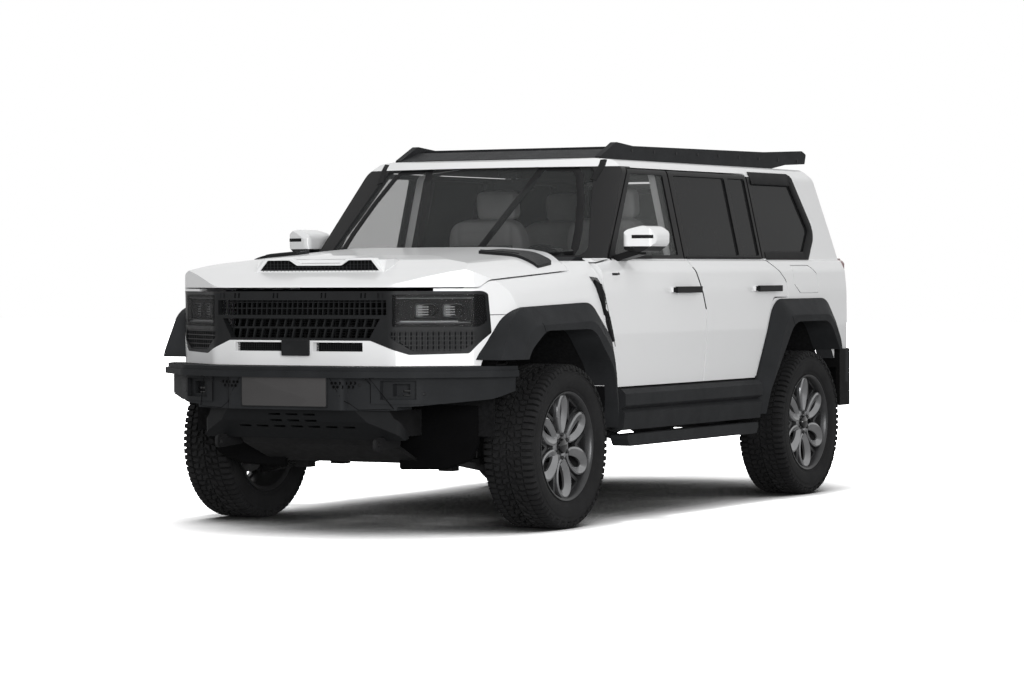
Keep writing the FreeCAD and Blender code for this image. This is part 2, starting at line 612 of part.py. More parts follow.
tail_leaf = tail_hinge(False)
body = largest(joined([body] + post.Solids + tail_leaf))
node("body_shell", body)
node("windscreen", windscreen)
node("quarter_glass", both(largest(pane(quarter_window(s.seat_gap)))))

front_glass = largest(pane(front_window(s.seat_gap)))
rear_glass = grouped([largest(pane(rear_window(s.seat_gap, rear_pane_start, rear_pane_end))),
                      largest(pane(rear_window(s.seat_gap, rear_fixed_start, rear_fixed_end)))])


def handle(setback):
    """Pull handle on a door, with its two feet."""
    x_high = -setback
    x_low = x_high - s.handle_length
    y_low = s.body_half_width - 12
    y_high = s.body_half_width + s.handle_stand
    bar = block(x_low, x_high, y_high - 14, y_high, s.handle_level, s.handle_level + s.handle_height)
    feet = [block(x, x + 40, y_low, y_high - 14, s.handle_level + 4, s.handle_level + s.handle_height - 4)
            for x in (x_low, x_high - 40)]
    return joined([bar] + feet)


front_door = joined([largest(front_door), handle(s.b_waist_setback - 418)])
rear_door = joined([largest(rear_door), handle(s.d_frame_setback - 296)])
for side in ("left", "right"):
    turn = mirrored if side == "right" else (lambda shape: shape)
    node("front_door_" + side, turn(front_door))
    node("rear_door_" + side, turn(rear_door))
    node("front_door_glass_" + side, turn(front_glass))
    node("rear_door_glass_" + side, turn(rear_glass))

# Mirrors

mirror_plan = [(-s.mirror_front_setback, s.mirror_inner_half_reach, 30),
               (-s.mirror_front_setback - 60, s.mirror_half_reach, 50),
               (-s.mirror_rear_setback, s.mirror_half_reach, 12),
               (-s.mirror_rear_setback, s.mirror_inner_half_reach, 20)]
mirror_side = [(-s.mirror_front_setback - 30, s.mirror_foot_height, 30),
               (-s.mirror_front_setback, s.mirror_foot_height + 70, 50),
               (-s.mirror_front_setback - 50, s.mirror_top_height, 60),
               (-s.mirror_rear_setback, s.mirror_top_height - 6, 14),
               (-s.mirror_rear_setback, s.mirror_foot_height, 14)]
mirror_head = prism(mirror_plan, "XY", s.mirror_foot_height - run, s.mirror_top_height + run)
mirror_front = [(s.mirror_inner_half_reach, s.mirror_foot_height + 14, 30), (s.mirror_inner_half_reach, s.mirror_top_height - 30, 40),
                (s.mirror_half_reach - 60, s.mirror_top_height, 60), (s.mirror_half_reach, s.mirror_top_height - 40, 40),
                (s.mirror_half_reach, s.mirror_foot_height + 50, 40), (s.mirror_half_reach - 70, s.mirror_foot_height, 50)]
mirror_head = mirror_head.common(prism(mirror_side, "XZ", 0, far)).common(prism(mirror_front, "YZ", -far, far))
mirror_arm = beam((-s.mirror_front_setback - 90, s.belt_half_width - 20, s.belt_height - 4),
                  (-s.mirror_front_setback - 100, s.mirror_inner_half_reach + 70, s.mirror_foot_height + 6), 110, 34)
mirror_piece = joined([mirror_head, mirror_arm]).cut(front_door)
mirror_piece = largest(mirror_piece)
node("mirror_left", mirror_piece)
node("mirror_right", mirrored(mirror_piece))

# Tailgate, its glass and the spare wheel cover

node("tailgate", tailgate)
tail_glass_slab = main_solid(0, 0, 0, 0, 0)
tail_glass_slab = tail_glass_slab.translated(V(s.glass_inset, 0, 0)).cut(
    tail_glass_slab.translated(V(s.glass_inset + s.glass_thickness + 2, 0, 0)))
tail_glass = largest(tail_glass_slab.common(prism(tail_window(s.seat_gap), "YZ", tail_low, tail_high - 60)))
node("tailgate_glass", tail_glass)
spare_front = rear - s.tail_reach + s.tail_wall
spare_rear = rear - s.spare_reach
spare = Part.makeCylinder(s.spare_radius, spare_front - spare_rear - s.spare_round, V(spare_rear + s.spare_round, 0, s.spare_level),
                          V(1, 0, 0))
spare = joined([spare, Part.makeCone(s.spare_radius - s.spare_round, s.spare_radius, s.spare_round, V(spare_rear, 0, s.spare_level),
                                     V(1, 0, 0))])
node("spare_cover", largest(spare.cut(skin).cut(tailgate)))

# Bonnet, wings and nose

front = front_solid(0, 0, 0)
front_void = front_solid(s.wing_skin, s.bonnet_skin, s.nose_skin)
front_shell = front.cut(front_void)
bonnet_side = [(s.bumper_reach, s.bonnet_lip_height), (s.clamshell_front_reach + 44, s.bonnet_lip_height, 20),
               (s.clamshell_front_reach, s.clamshell_front_height, 60),
               (-s.bonnet_corner_setback - run, s.clamshell_rear_height + 3),
               (-s.wheelbase * 0.2, s.clamshell_rear_height + 3), (-s.wheelbase * 0.2, far), (s.bumper_reach, far)]


def bonnet_plan(gap):
    """Plan outline of the bonnet, with its cut-back rear corners."""
    wide = s.body_half_width + run
    rear_edge = -s.bonnet_rear_setback + gap
    corner = -s.bonnet_corner_setback + gap
    inner = s.bonnet_rear_half_width
    return [(s.bumper_reach, -wide), (s.bumper_reach, wide), (corner, wide), (corner, s.corner_half_width, 30),
            (rear_edge, inner, 60), (rear_edge, -inner, 60), (corner, -s.corner_half_width, 30), (corner, -wide)]


bonnet_zone = prism(bonnet_side, "XZ", -far, far)
bonnet_panel = front_shell.common(bonnet_zone.translated(V(0, 0, s.shut_gap))).common(
    prism(bonnet_plan(s.shut_gap), "XY", 0, far))
bonnet_panel = largest(bonnet_panel)

grille_half = [(0, s.grille_top_height), (s.corner_half_width + 24, s.grille_top_height, 24),
               (s.corner_half_width + 34, s.grille_mid_height + 36, 20), (s.corner_half_width - 40, s.grille_foot_height + 6, 20),
               (s.lamp_inner_half_width + 70, s.grille_foot_height, 20),
               (s.lamp_inner_half_width - 110, s.grille_mid_height, 20), (0, s.grille_mid_height)]
grille_points = grille_half[:-1] + [(-p[0],) + tuple(p[1:]) for p in reversed(grille_half[1:-1])]
grille_points = grille_points[1:]
grille_zone = prism(grille_points, "YZ", 0, s.bumper_reach)

fascia_side = [(s.bumper_reach, s.fascia_bottom_height), (s.bumper_reach, s.fascia_top_height),
               (s.fascia_end_reach + 30, s.fascia_top_height + 8), (s.fascia_end_reach, s.fascia_top_height - 20),
               (s.fascia_end_reach, s.fascia_bottom_height)]
slots = [block(0, s.bumper_reach, low, low + s.slot_half_width - 90, s.slot_foot_height, s.slot_top_height)
         for low in (90, -s.slot_half_width)]
flare_zone = prism(arch_outline(FLARE_SHARES, 0, -20), "XZ", -far, far)
fascia = front_shell.common(prism(fascia_side, "XZ", -far, far)).cut(grille_zone).cut(flare_zone)
for slot in slots:
    fascia = fascia.cut(slot)
fascia = largest(fascia)
badge = front.common(block(0, s.bumper_reach, -72, 72, s.slot_foot_height - 8, s.slot_top_height + 8))
badge = badge.translated(V(14, 0, 0)).cut(front.translated(V(-2, 0, 0)))
fascia = joined([fascia, largest(badge)])
node("fascia", fascia)

wing_gap = s.shut_gap / 2
wings = front_shell.cut(bonnet_zone).cut(grille_zone).cut(
    prism([(p[0] - (wing_gap if p[0] < s.bumper_reach else 0), p[1] + (wing_gap if p[1] > s.waist_height else 0))
           for p in fascia_side], "XZ", -far, far))
wings = wings.cut(block(-far, s.nose_reach, -s.rail_half_spacing * 1.6, s.rail_half_spacing * 1.6, 0, far))
wings = wings.cut(arch_front_cut).cut(mirrored(arch_front_cut))
wings = wings.cut(block(-far, far, -far, far, 0, s.sill_height))
behind = front_shell.common(bonnet_zone).cut(prism(bonnet_plan(0), "XY", 0, far)).common(
    block(-far, far, -far, far, s.shoulder_height - 30, s.belt_height - 10))
behind = behind.cut(block(-far, far, -s.corner_half_width + 20, s.corner_half_width - 20, 0, far))
wing = largest(joined([wings.common(left), behind.common(left)]))
wing = largest(wing.cut(prism(front_door_outline(0), "XZ", 0, far)))
node("front_wings", both(wing))

# Scoop on the bonnet and the vents beside the windscreen

scoop_low = s.bonnet_height - 140
scoop_half = [(s.corner_reach + 83, 0), (s.corner_reach + 83, s.lamp_inner_half_width - 140),
              (s.corner_reach - 60, s.lamp_inner_half_width - 170), (s.corner_reach - 230, s.lamp_inner_half_width - 230),
              (s.corner_reach - 230, 0)]
scoop_points = scoop_half[1:-1] + [(p[0], -p[1]) for p in reversed(scoop_half[1:-1])]
scoop_side = [(s.corner_reach + 83, scoop_low - 40), (s.corner_reach + 83, scoop_low), (s.corner_reach + 50, scoop_low + 62, 12),
              (s.corner_reach - 60, scoop_low + 66, 60), (s.corner_reach - 240, scoop_low + 56), (s.corner_reach - 240, scoop_low - 40)]
scoop = prism(scoop_points, "XY", scoop_low - 40, far).common(prism(scoop_side, "XZ", -far, far))
scoop_mouth = prism([(p[0], p[1] * 0.92) for p in scoop_points], "XY", 0, far).common(
    block(s.corner_reach + 20, s.bumper_reach, -far, far, scoop_low + 14, scoop_low + 46))
scoop = scoop.cut(front.translated(V(0, 0, -4))).cut(scoop_mouth)
bonnet_panel = largest(joined([bonnet_panel, largest(scoop)]))

vent_plan = [(60, s.lamp_inner_half_width + 20, 10), (60, s.corner_half_width + 16, 10),
             (-120, s.corner_half_width + 6, 30), (-120, s.lamp_inner_half_width + 60, 30)]
vent_zone = prism(vent_plan, "XY", s.shoulder_height - run, far)
vent_seat = front.translated(V(0, 0, s.seat_gap)).common(vent_zone)
vents = largest(front.translated(V(0, 0, s.vent_stand)).common(vent_zone).cut(vent_seat))
scoop_mesh = grouped([block(s.corner_reach + 22, s.corner_reach + 30, -s.lamp_inner_half_width + 190,
                            s.lamp_inner_half_width - 190, scoop_low + 14.3, scoop_low + 45.7)])
bonnet_pin_x = -s.bonnet_rear_setback + 27
bonnet_pin_level = s.screen_base_height - 8


def bonnet_hinge(side, moving):
    """One leaf of a bonnet hinge, the moving one bored for the fixed pin."""
    y = side * (s.bonnet_rear_half_width - 20)
    start, end = (bonnet_pin_x, y - 20, bonnet_pin_level), (bonnet_pin_x, y + 20, bonnet_pin_level)
    if moving:
        ring = rod(start, end, s.hinge_radius)
        strap = block(bonnet_pin_x - 8, bonnet_pin_x + 8, y - 20, y + 20, bonnet_pin_level, bonnet_pin_level + s.hinge_radius + 24)
        bore = rod((bonnet_pin_x, y - 21, bonnet_pin_level), (bonnet_pin_x, y + 21, bonnet_pin_level), s.pin_radius + s.seat_gap)
        return joined([ring, strap]).cut(bore)
    pin = rod((bonnet_pin_x, y - 32, bonnet_pin_level), (bonnet_pin_x, y + 32, bonnet_pin_level), s.pin_radius)
    ears = []
    for foot in (y - 32, y + 21):
        ears.append(block(bonnet_pin_x - 110, bonnet_pin_x + s.pin_radius, foot, foot + 11, bonnet_pin_level - 46, bonnet_pin_level - 22))
        ears.append(block(bonnet_pin_x - s.pin_radius, bonnet_pin_x + s.pin_radius, foot, foot + 11,
                          bonnet_pin_level - 22, bonnet_pin_level + s.pin_radius))
    return joined([pin] + ears)


bonnet_panel = largest(joined([bonnet_panel, bonnet_hinge(1, True), bonnet_hinge(-1, True)]))
node("bonnet", bonnet_panel)
node("bonnet_vents", grouped([vents, mirrored(vents), scoop_mesh.cut(bonnet_panel)]))

# Grille, lamps and cowl

CORNER_PANEL_SHARES = [(-0.02, 0.86), (0.96, 0.86), (0.96, 0.46), (0.78, 0.14), (0.24, 0.14), (-0.02, 0.60)]
PROJECTOR_SHARES = [0.40, 0.70]
SLOT_SHARES = [-0.92, -0.74, -0.30, 0.24, 0.68, 0.86]

grille_face = front.translated(V(-6, 0, 0)).cut(front.translated(V(-6 - s.grille_frame_depth, 0, 0)))
grille_frame = grille_face.common(grille_zone)
lamp_half = [(s.lamp_inner_half_width, s.lamp_foot_height, 8), (s.lamp_inner_half_width, s.lamp_top_height, 8),
             (s.corner_half_width + 14, s.lamp_top_height, 14), (s.corner_half_width + 20, s.lamp_foot_height + 20, 30),
             (s.corner_half_width - 10, s.lamp_foot_height, 20)]
lamp_zone = prism(lamp_half, "YZ", 0, s.bumper_reach)
upper_mouth = block(0, s.bumper_reach, -s.lamp_inner_half_width + 28, s.lamp_inner_half_width - 28,
                    s.upper_grille_foot_height, s.grille_top_height - 44)
lower_mouth = prism([(-s.lamp_inner_half_width + 60, s.upper_grille_foot_height - 18),
                     (s.lamp_inner_half_width - 60, s.upper_grille_foot_height - 18),
                     (s.lamp_inner_half_width - 116, s.grille_mid_height + 12),
                     (-s.lamp_inner_half_width + 116, s.grille_mid_height + 12)], "YZ", 0, s.bumper_reach)
grille_frame = grille_frame.cut(lamp_zone).cut(mirrored(lamp_zone)).cut(upper_mouth).cut(lower_mouth)
mesh_face = front.translated(V(-s.mesh_setback, 0, 0)).cut(front.translated(V(-s.mesh_setback - s.mesh_depth, 0, 0)))
mouth_half = s.lamp_inner_half_width
bars = []
level = s.upper_grille_foot_height + s.mesh_pitch
while level < s.grille_top_height - s.grille_frame_depth - s.mesh_bar:
    bars.append(block(0, s.bumper_reach, -mouth_half, mouth_half, level, level + s.mesh_bar))
    level += s.mesh_pitch
across = -mouth_half + s.grille_frame_depth
while across < mouth_half - s.mesh_pitch:
    bars.append(block(0, s.bumper_reach, across, across + s.mesh_bar, s.upper_grille_foot_height - s.mesh_bar,
                      s.grille_top_height - s.grille_frame_depth + s.mesh_bar))
    across += s.mesh_pitch
divider = (s.upper_grille_foot_height + s.grille_mid_height) / 2
bars.append(block(0, s.bumper_reach, -mouth_half, mouth_half, divider - s.mesh_bar, divider + s.mesh_bar))
across = -mouth_half + s.slat_pitch
while across < mouth_half - s.slat_pitch:
    for foot, top in ((s.grille_mid_height, divider), (divider, s.upper_grille_foot_height - s.mesh_bar)):
        slat = [(across, foot), (across + s.slat_width, foot), (across + s.slat_width + s.slat_lean, top),
                (across + s.slat_lean, top)]
        bars.append(prism(slat, "YZ", 0, s.bumper_reach))
    across += s.slat_pitch
mesh_parts = [bar.common(mesh_face) for bar in bars]
mesh = joined([solid for part in mesh_parts for solid in part.Solids])

# Ribbed corner panels under the lamps
corner_panel = shares(CORNER_PANEL_SHARES, s.corner_half_width - s.lamp_inner_half_width,
                      s.lamp_foot_height - s.grille_foot_height, s.lamp_inner_half_width, s.grille_foot_height)
corner_zone = prism(round_all(corner_panel, s.mesh_depth), "YZ", 0, s.bumper_reach)
panel_recess = front.cut(front.translated(V(-6 - s.grille_frame_depth / 2, 0, 0))).common(corner_zone)
rib_face = front.translated(V(-6 - s.mesh_bar, 0, 0)).cut(front.translated(V(-6 - s.grille_frame_depth * 0.6, 0, 0)))
ribs = []
level = s.grille_foot_height + s.corner_pitch
while level < s.lamp_foot_height:
    ribs.append(block(0, s.bumper_reach, mouth_half - s.slat_pitch, s.body_half_width, level, level + s.mesh_bar))
    level += s.corner_pitch
across = mouth_half
while across < s.corner_half_width:
    ribs.append(block(0, s.bumper_reach, across, across + s.mesh_bar, s.grille_foot_height, s.lamp_foot_height))
    across += s.corner_pitch
rib_parts = [rib.common(rib_face).common(corner_zone) for rib in ribs]
rib_net = joined([solid for part in rib_parts for solid in part.Solids])
grille_frame = grille_frame.cut(panel_recess).cut(mirrored(panel_recess))
# Pairs of slots in the top bar
slot_pairs = []
for share in SLOT_SHARES:
    for shift in (0, s.slat_pitch / 2):
        low = share * mouth_half + shift
        slot_pairs.append(block(s.lamp_inner_reach, s.bumper_reach, low, low + s.mesh_depth * 0.8,
                                s.grille_top_height - s.grille_frame_depth * 0.8, s.grille_top_height - s.mesh_bar * 1.6))
slot_cut = front.cut(front.translated(V(-6 - s.mesh_depth, 0, 0))).common(Part.makeCompound(slot_pairs))
grille_frame = grille_frame.cut(slot_cut)
grille_piece = joined([grille_frame, mesh, rib_net, mirrored(rib_net)])
node("grille", largest(grille_piece.cut(fascia)))

lamp_face = front.translated(V(-10, 0, 0)).cut(front.translated(V(-10 - s.lamp_depth, 0, 0)))
lamp_body = largest(lamp_face.common(lamp_zone))
lamp_bowl = front.translated(V(-10, 0, 0)).cut(front.translated(V(-10 - s.lamp_depth * 0.6, 0, 0)))
bowl_zone = prism([(s.lamp_inner_half_width + 14, s.lamp_foot_height + 18), (s.lamp_inner_half_width + 14, s.lamp_top_height - 16),
                   (s.corner_half_width - 30, s.lamp_top_height - 16), (s.corner_half_width - 36, s.lamp_foot_height + 18)],
                  "YZ", 0, s.bumper_reach)
lamp_body = lamp_body.cut(lamp_bowl.common(bowl_zone))
bar_face = front.translated(V(-10 - s.lens_thickness * 3, 0, 0)).cut(front.translated(V(-10 - s.lamp_depth * 0.7, 0, 0)))
light_bars = []
for level in (s.lamp_top_height - s.lamp_bar * 4, s.lamp_foot_height + s.lamp_bar * 5):
    bar = block(0, s.bumper_reach, s.lamp_inner_half_width, s.corner_half_width, level, level + s.lamp_bar)
    light_bars.append(bar.common(bar_face).common(lamp_zone))
sweep = (s.lamp_inner_reach - s.corner_reach) / (s.corner_half_width - s.lamp_inner_half_width)
for share in PROJECTOR_SHARES:
    across = s.lamp_inner_half_width + share * (s.corner_half_width - s.lamp_inner_half_width)
    face = s.lamp_inner_reach - sweep * (across - s.lamp_inner_half_width)
    middle = (s.lamp_top_height + s.lamp_foot_height) / 2
    light_bars.append(rod((face - s.lamp_depth * 1.1, across, middle), (face - s.lamp_depth * 0.55, across, middle),
                          s.projector_radius))
lamp_body = largest(joined([lamp_body] + light_bars).common(lamp_face.common(lamp_zone)))
node("headlamp_housings", both(lamp_body))
lens_face = front.translated(V(-5, 0, 0)).cut(front.translated(V(-5 - s.lens_thickness, 0, 0)))
node("headlamp_lenses", both(largest(lens_face.common(lamp_zone))))

cowl_side = [(-s.bonnet_rear_setback - 26, s.screen_base_height - 90), (-s.bonnet_rear_setback - 26, s.screen_base_height - 30),
             (-s.screen_base_setback + 24, s.screen_base_height + 4), (-s.screen_base_setback - 130, s.screen_base_height + 4),
             (-s.screen_base_setback - 130, s.screen_base_height - 90)]
cowl = prism(cowl_side, "XZ", -s.screen_base_half_width - 16, s.screen_base_half_width + 16)
cowl = joined([cowl, bonnet_hinge(1, False), bonnet_hinge(-1, False)])
cowl = cowl.cut(body).cut(windscreen).cut(block(-far, -s.firewall_setback - 90, -far, far, 0, far))
cowl = largest(cowl)
node("cowl_panel", cowl)

# Arch flares and liners

def flare(outer_table, inner_table, axle):
    """Flared arch moulding: a straight edge on the skin, leaning in to its lip, and a lining in the opening."""
    centre = (axle, s.arch_top_height * s.flare_centre_share)
    outline_points = arch_outline(outer_table, axle)
    lip_points = []
    for point in outline_points:
        low = point[1] < s.sill_bottom - 2 * run
        rise = 0 if low else (centre[1] - point[1]) * s.flare_lean_share
        lip_points.append((point[0] + (centre[0] - point[0]) * s.flare_lean_share, point[1] + rise) + tuple(point[2:]))
    edge_level = s.body_half_width + s.flare_edge
    base = prism(outline_points, "XZ", s.corner_half_width - s.wing_skin, edge_level)
    lean = Part.makeLoft([wire(outline_points, "XZ", edge_level),
                          wire(lip_points, "XZ", s.body_half_width + s.flare_reach)], True, True)
    return joined([base, lean]).cut(prism(arch_outline(inner_table, axle), "XZ", 0, far))


def lining(table, axle):
    """Edge strip that wraps the cut edge of the skin inside a wheel opening."""
    low, high = s.body_half_width - s.lining_inner_inset, s.body_half_width + s.flare_edge
    strip = prism(arch_outline(table, axle, s.arch_lining), "XZ", low, high)
    return strip.cut(prism(arch_outline(table, axle), "XZ", 0, far))


front_flare = flare(FLARE_SHARES, ARCH_SHARES, 0).cut(front)
front_flare = front_flare.cut(block(s.fascia_end_reach - 20, far, 0, far, 0, s.bumper_top_height + 30))
front_flare = front_flare.cut(block(-far, far, -far, far, 0, s.flare_foot_height))
front_flare = largest(joined([largest(front_flare.cut(skin)), lining(ARCH_SHARES, 0)]))
front_flare = front_flare.cut(block(-far, far, -far, far, 0, s.flare_foot_height))
front_flare = front_flare.cut(block(s.fascia_end_reach - 20, far, 0, far, 0, s.bumper_top_height + 30))
front_flare = largest(front_flare.cut(front_door).cut(wing).cut(body))
rear_flare = flare(REAR_FLARE_SHARES, REAR_ARCH_SHARES, rear)
rear_flare = rear_flare.cut(block(-far, rear, -far, far, 0, s.rear_corner_top_height + s.seat_gap))
rear_flare = rear_flare.cut(block(-far, far, -far, far, 0, s.flare_foot_height))
rear_lining = lining(REAR_ARCH_SHARES, rear).cut(block(-far, far, -far, far, 0, s.sill_height - 8))
rear_lining = rear_lining.cut(block(-far, rear, -far, far, 0, s.rear_corner_top_height + s.seat_gap))
rear_flare = largest(joined([largest(rear_flare.cut(skin)), rear_lining]).cut(body))
node("arch_flares", grouped([front_flare, mirrored(front_flare), rear_flare, mirrored(rear_flare)]))


def liner(table, axle, grow):
    """Wheel arch liner, a skin round the wheel opening with a wall inboard."""
    outer = prism(arch_outline(table, axle, grow), "XZ", s.liner_inner_half_width,
                  s.body_half_width - s.lining_inner_inset - s.seat_gap)
    inner = prism(arch_outline(table, axle, grow - s.liner_skin), "XZ", s.liner_inner_half_width + s.liner_skin, far)
    return outer.cut(inner).cut(block(-far, far, -far, far, 0, s.sill_bottom + 10))


front_liner = largest(liner(ARCH_SHARES, 0, 13).cut(wing).cut(body).cut(front_flare))
rear_liner = largest(liner(REAR_ARCH_SHARES, rear, 13).cut(body).cut(rear_flare))
liners = [front_liner, rear_liner]

# Floor, firewall and tunnel

floor_low = s.floor_height - s.floor_thickness
cabin_half = s.body_half_width - s.door_wall - 26
floor = block(rear - s.tail_reach + s.tail_wall + 40, -s.firewall_setback, -cabin_half, cabin_half, floor_low, s.floor_height)
firewall = block(-s.firewall_setback - s.firewall_thickness, -s.firewall_setback, -cabin_half, cabin_half,
                 s.floor_height, s.screen_base_height - 92)
floor_piece = joined([floor, firewall])
for cut in (arch_rear_cut, mirrored(arch_rear_cut), body, cowl, both(front_flare), both(rear_flare)):
    floor_piece = floor_piece.cut(cut)
floor_piece = largest(floor_piece)
node("floor_pan", floor_piece)
# Chassis

rail_mid = s.rail_level
rail_front = s.nose_reach - 60
rail_rear = rear - s.tail_reach + 40
rails = []
for side in (-1, 1):
    y_mid = side * s.rail_half_spacing
    outer = block(rail_rear, rail_front, y_mid - s.rail_width / 2, y_mid + s.rail_width / 2,
                  rail_mid - s.rail_height / 2 - 40, floor_low - 6)
    rails.append(outer)
cross_members = [block(x - 40, x + 40, -s.rail_half_spacing, s.rail_half_spacing, rail_mid - 70, rail_mid - 10)
                 for x in (rail_front - 60, -640, -1300, -2000, rear + 460, rail_rear + 60)]
towers = []
for side in (-1, 1):
    low_y, high_y = sorted((side * (s.rail_half_spacing - s.rail_width / 2), side * (s.rail_half_spacing + s.rail_width / 2 - 4)))
    towers.append(block(-70, 70, low_y, high_y, floor_low - 20, s.coil_top_height + 12))
    low_y, high_y = sorted((side * (s.rail_half_spacing - s.rail_width / 2), side * (s.rail_half_spacing + 170)))
    towers.append(block(-70, 70, low_y, high_y, s.coil_top_height + 3, s.coil_top_height + 14))
    for x in (-s.arm_base * 0.8, s.arm_base * 0.8):
        towers.append(block(x - 34, x + 34, side * s.rail_half_spacing - s.rail_width / 2, side * s.rail_half_spacing + s.rail_width / 2,
                            s.lower_pivot_height - s.arm_width, rail_mid))
    low_y, high_y = sorted((side * (s.engine_width / 2 - 20), side * s.rail_half_spacing))
    towers.append(block(-50, 50, low_y, high_y, s.engine_level - 50, s.engine_level - s.seat_gap))
tow_side = [(rail_front - 140, rail_mid - s.rail_height / 2 - 38), (rail_front - 140, s.tow_eye_height - 20, 20),
            (s.tow_eye_reach - 20, s.tow_eye_height - 32, 20), (s.tow_eye_reach + 32, s.tow_eye_height - 32, 30),
            (s.tow_eye_reach + 32, s.tow_eye_height + 32, 30), (s.tow_eye_reach - 24, s.tow_eye_height + 32, 20),
            (rail_front - 4, rail_mid - s.rail_height / 2 - 38)]
tow_outer = s.rail_half_spacing + s.rail_width / 2
tow_plates = []
for side in (-1, 1):
    low_y, high_y = sorted((side * (tow_outer - s.tow_plate), side * tow_outer))
    plate = prism(tow_side, "XZ", low_y, high_y)
    eye = rod((s.tow_eye_reach, low_y - 1, s.tow_eye_height), (s.tow_eye_reach, high_y + 1, s.tow_eye_height), s.tow_eye_radius)
    tow_plates.append(plate.cut(eye))
ladder = joined(rails + cross_members + towers)
tow_hooks = grouped([plate.cut(ladder) for plate in tow_plates])
node("tow_hooks", tow_hooks)
ladder = largest(ladder)
node("ladder_frame", ladder)
front_liner, rear_liner = [largest(piece.cut(floor_piece).cut(ladder)) for piece in liners]
both_liners = [front_liner, mirrored(front_liner), rear_liner, mirrored(rear_liner)]
node("arch_liners", grouped(both_liners))

engine = doc.addObject("Part::Box", "engine_block")
engine.Label = "engine_block"
engine.setExpression("Length", "Sizes.engine_length")
engine.setExpression("Width", "Sizes.engine_width")
engine.setExpression("Height", "Sizes.engine_height")
engine.setExpression("Placement.Base.x", "(Sizes.wheelbase + Sizes.spare_reach - Sizes.bumper_reach) / 2"
                     " - Sizes.engine_length * 0.55")
engine.setExpression("Placement.Base.y", "-Sizes.engine_width / 2")
engine.setExpression("Placement.Base.z", "Sizes.engine_level")
nodes.append(engine)

gearbox = rod((-s.engine_length * 0.55 - s.seat_gap, 0, s.rail_level + 60 - s.gearbox_radius), (-s.engine_length * 0.55 - s.gearbox_length, 0,
              s.rail_level + 30 - s.gearbox_radius), s.gearbox_radius * 0.8)
rear_shaft = rod((-s.engine_length * 0.55 - s.gearbox_length + 10, 0, s.rail_level - 90),
                 (rear + s.diff_radius + 8, 0, s.tyre_radius), s.shaft_radius)
driveline = joined([gearbox, rear_shaft]).cut(ladder).cut(floor_piece)
node("driveline", largest(driveline))

tank = doc.addObject("Part::Box", "fuel_tank")
tank.Label = "fuel_tank"
tank.setExpression("Length", "Sizes.tank_length")
tank.setExpression("Width", "Sizes.tank_width")
tank.setExpression("Height", "Sizes.tank_height")
tank.setExpression("Placement.Base.x", "(Sizes.wheelbase + Sizes.spare_reach - Sizes.bumper_reach) / 2"
                   " - Sizes.b_waist_setback - Sizes.tank_length / 2")
tank.setExpression("Placement.Base.y", "-Sizes.rail_half_spacing + Sizes.rail_width / 2")
tank.setExpression("Placement.Base.z", "Sizes.tank_level")
nodes.append(tank)

silencer = rod((-1500, s.rail_half_spacing - 190, 470), (-1500 - s.silencer_length, s.rail_half_spacing - 190, 470), s.silencer_radius)
pipes = [rod((-600, 190, 470), (-1500, s.rail_half_spacing - 190, 470), s.exhaust_radius),
         rod((-1500 - s.silencer_length, s.rail_half_spacing - 190, 470), (rear + 300, s.rail_half_spacing - 190, 480), s.exhaust_radius)]
exhaust = joined([silencer] + pipes).cut(ladder)
node("exhaust", largest(exhaust))

# Suspension


def wishbone(height, ball_height, base, drop):
    """Triangular arm from two frame pivots to its ball joint."""
    inner = s.rail_half_spacing + s.rail_width / 2 + s.seat_gap
    tip = (0, s.kingpin_half_spacing, ball_height)
    legs = [beam((side * base / 2, inner, height), (side * 8, s.kingpin_half_spacing - 10, ball_height - drop), s.arm_width * 0.8, s.arm_height)
            for side in (-1, 1)]
    ball = rod((0, tip[1], ball_height - s.ball_joint_radius), (0, tip[1], ball_height + s.ball_joint_radius), s.ball_joint_radius)
    return joined(legs + [ball])


lower_arm = wishbone(s.lower_pivot_height, s.lower_ball_height, s.arm_base * 1.6, 8)
upper_arm = wishbone(s.upper_ball_height + 8, s.upper_ball_height, s.arm_base * 1.4, 0)
coil_y = s.rail_half_spacing + 125
coil_foot = s.lower_pivot_height
spring_seat = beam((-s.arm_base * 0.66, coil_y, coil_foot), (s.arm_base * 0.66, coil_y, coil_foot), s.arm_width * 1.6, s.arm_height)
coil = rod((0, coil_y, coil_foot), (0, coil_y - 20, s.coil_top_height), s.coil_radius)
trim = block(-far, far, -far, s.rail_half_spacing + s.rail_width / 2 + s.seat_gap, 0, far)
lower_set = joined([lower_arm.cut(trim), coil, spring_seat])
upper_set = upper_arm.cut(trim)
upright = block(-30, 30, s.kingpin_half_spacing - 26, s.kingpin_half_spacing + 22, s.lower_ball_height + s.ball_joint_radius + s.seat_gap,
                s.upper_ball_height - s.ball_joint_radius - s.seat_gap)
hub_face = s.track_width / 2 + s.rim_width / 2 - s.spoke_inset + 6 - s.spoke_depth - 40 - s.seat_gap
hub = rod((0, s.kingpin_half_spacing - 30, s.tyre_radius), (0, hub_face, s.tyre_radius), s.knuckle_radius)
steer_arm = beam((10, s.kingpin_half_spacing - 20, s.tyre_radius - 20), (150, s.kingpin_half_spacing - 60, s.tyre_radius - 20), 30, 24)
knuckle = joined([upright, hub, steer_arm])
lower_set = largest(lower_set.cut(ladder).cut(front_liner))
upper_set = largest(upper_set.cut(ladder).cut(front_liner))
arms = grouped([lower_set, upper_set])
node("front_suspension", grouped([lower_set, upper_set, mirrored(lower_set), mirrored(upper_set)]))
node("knuckle_left", knuckle)
node("knuckle_right", mirrored(knuckle))

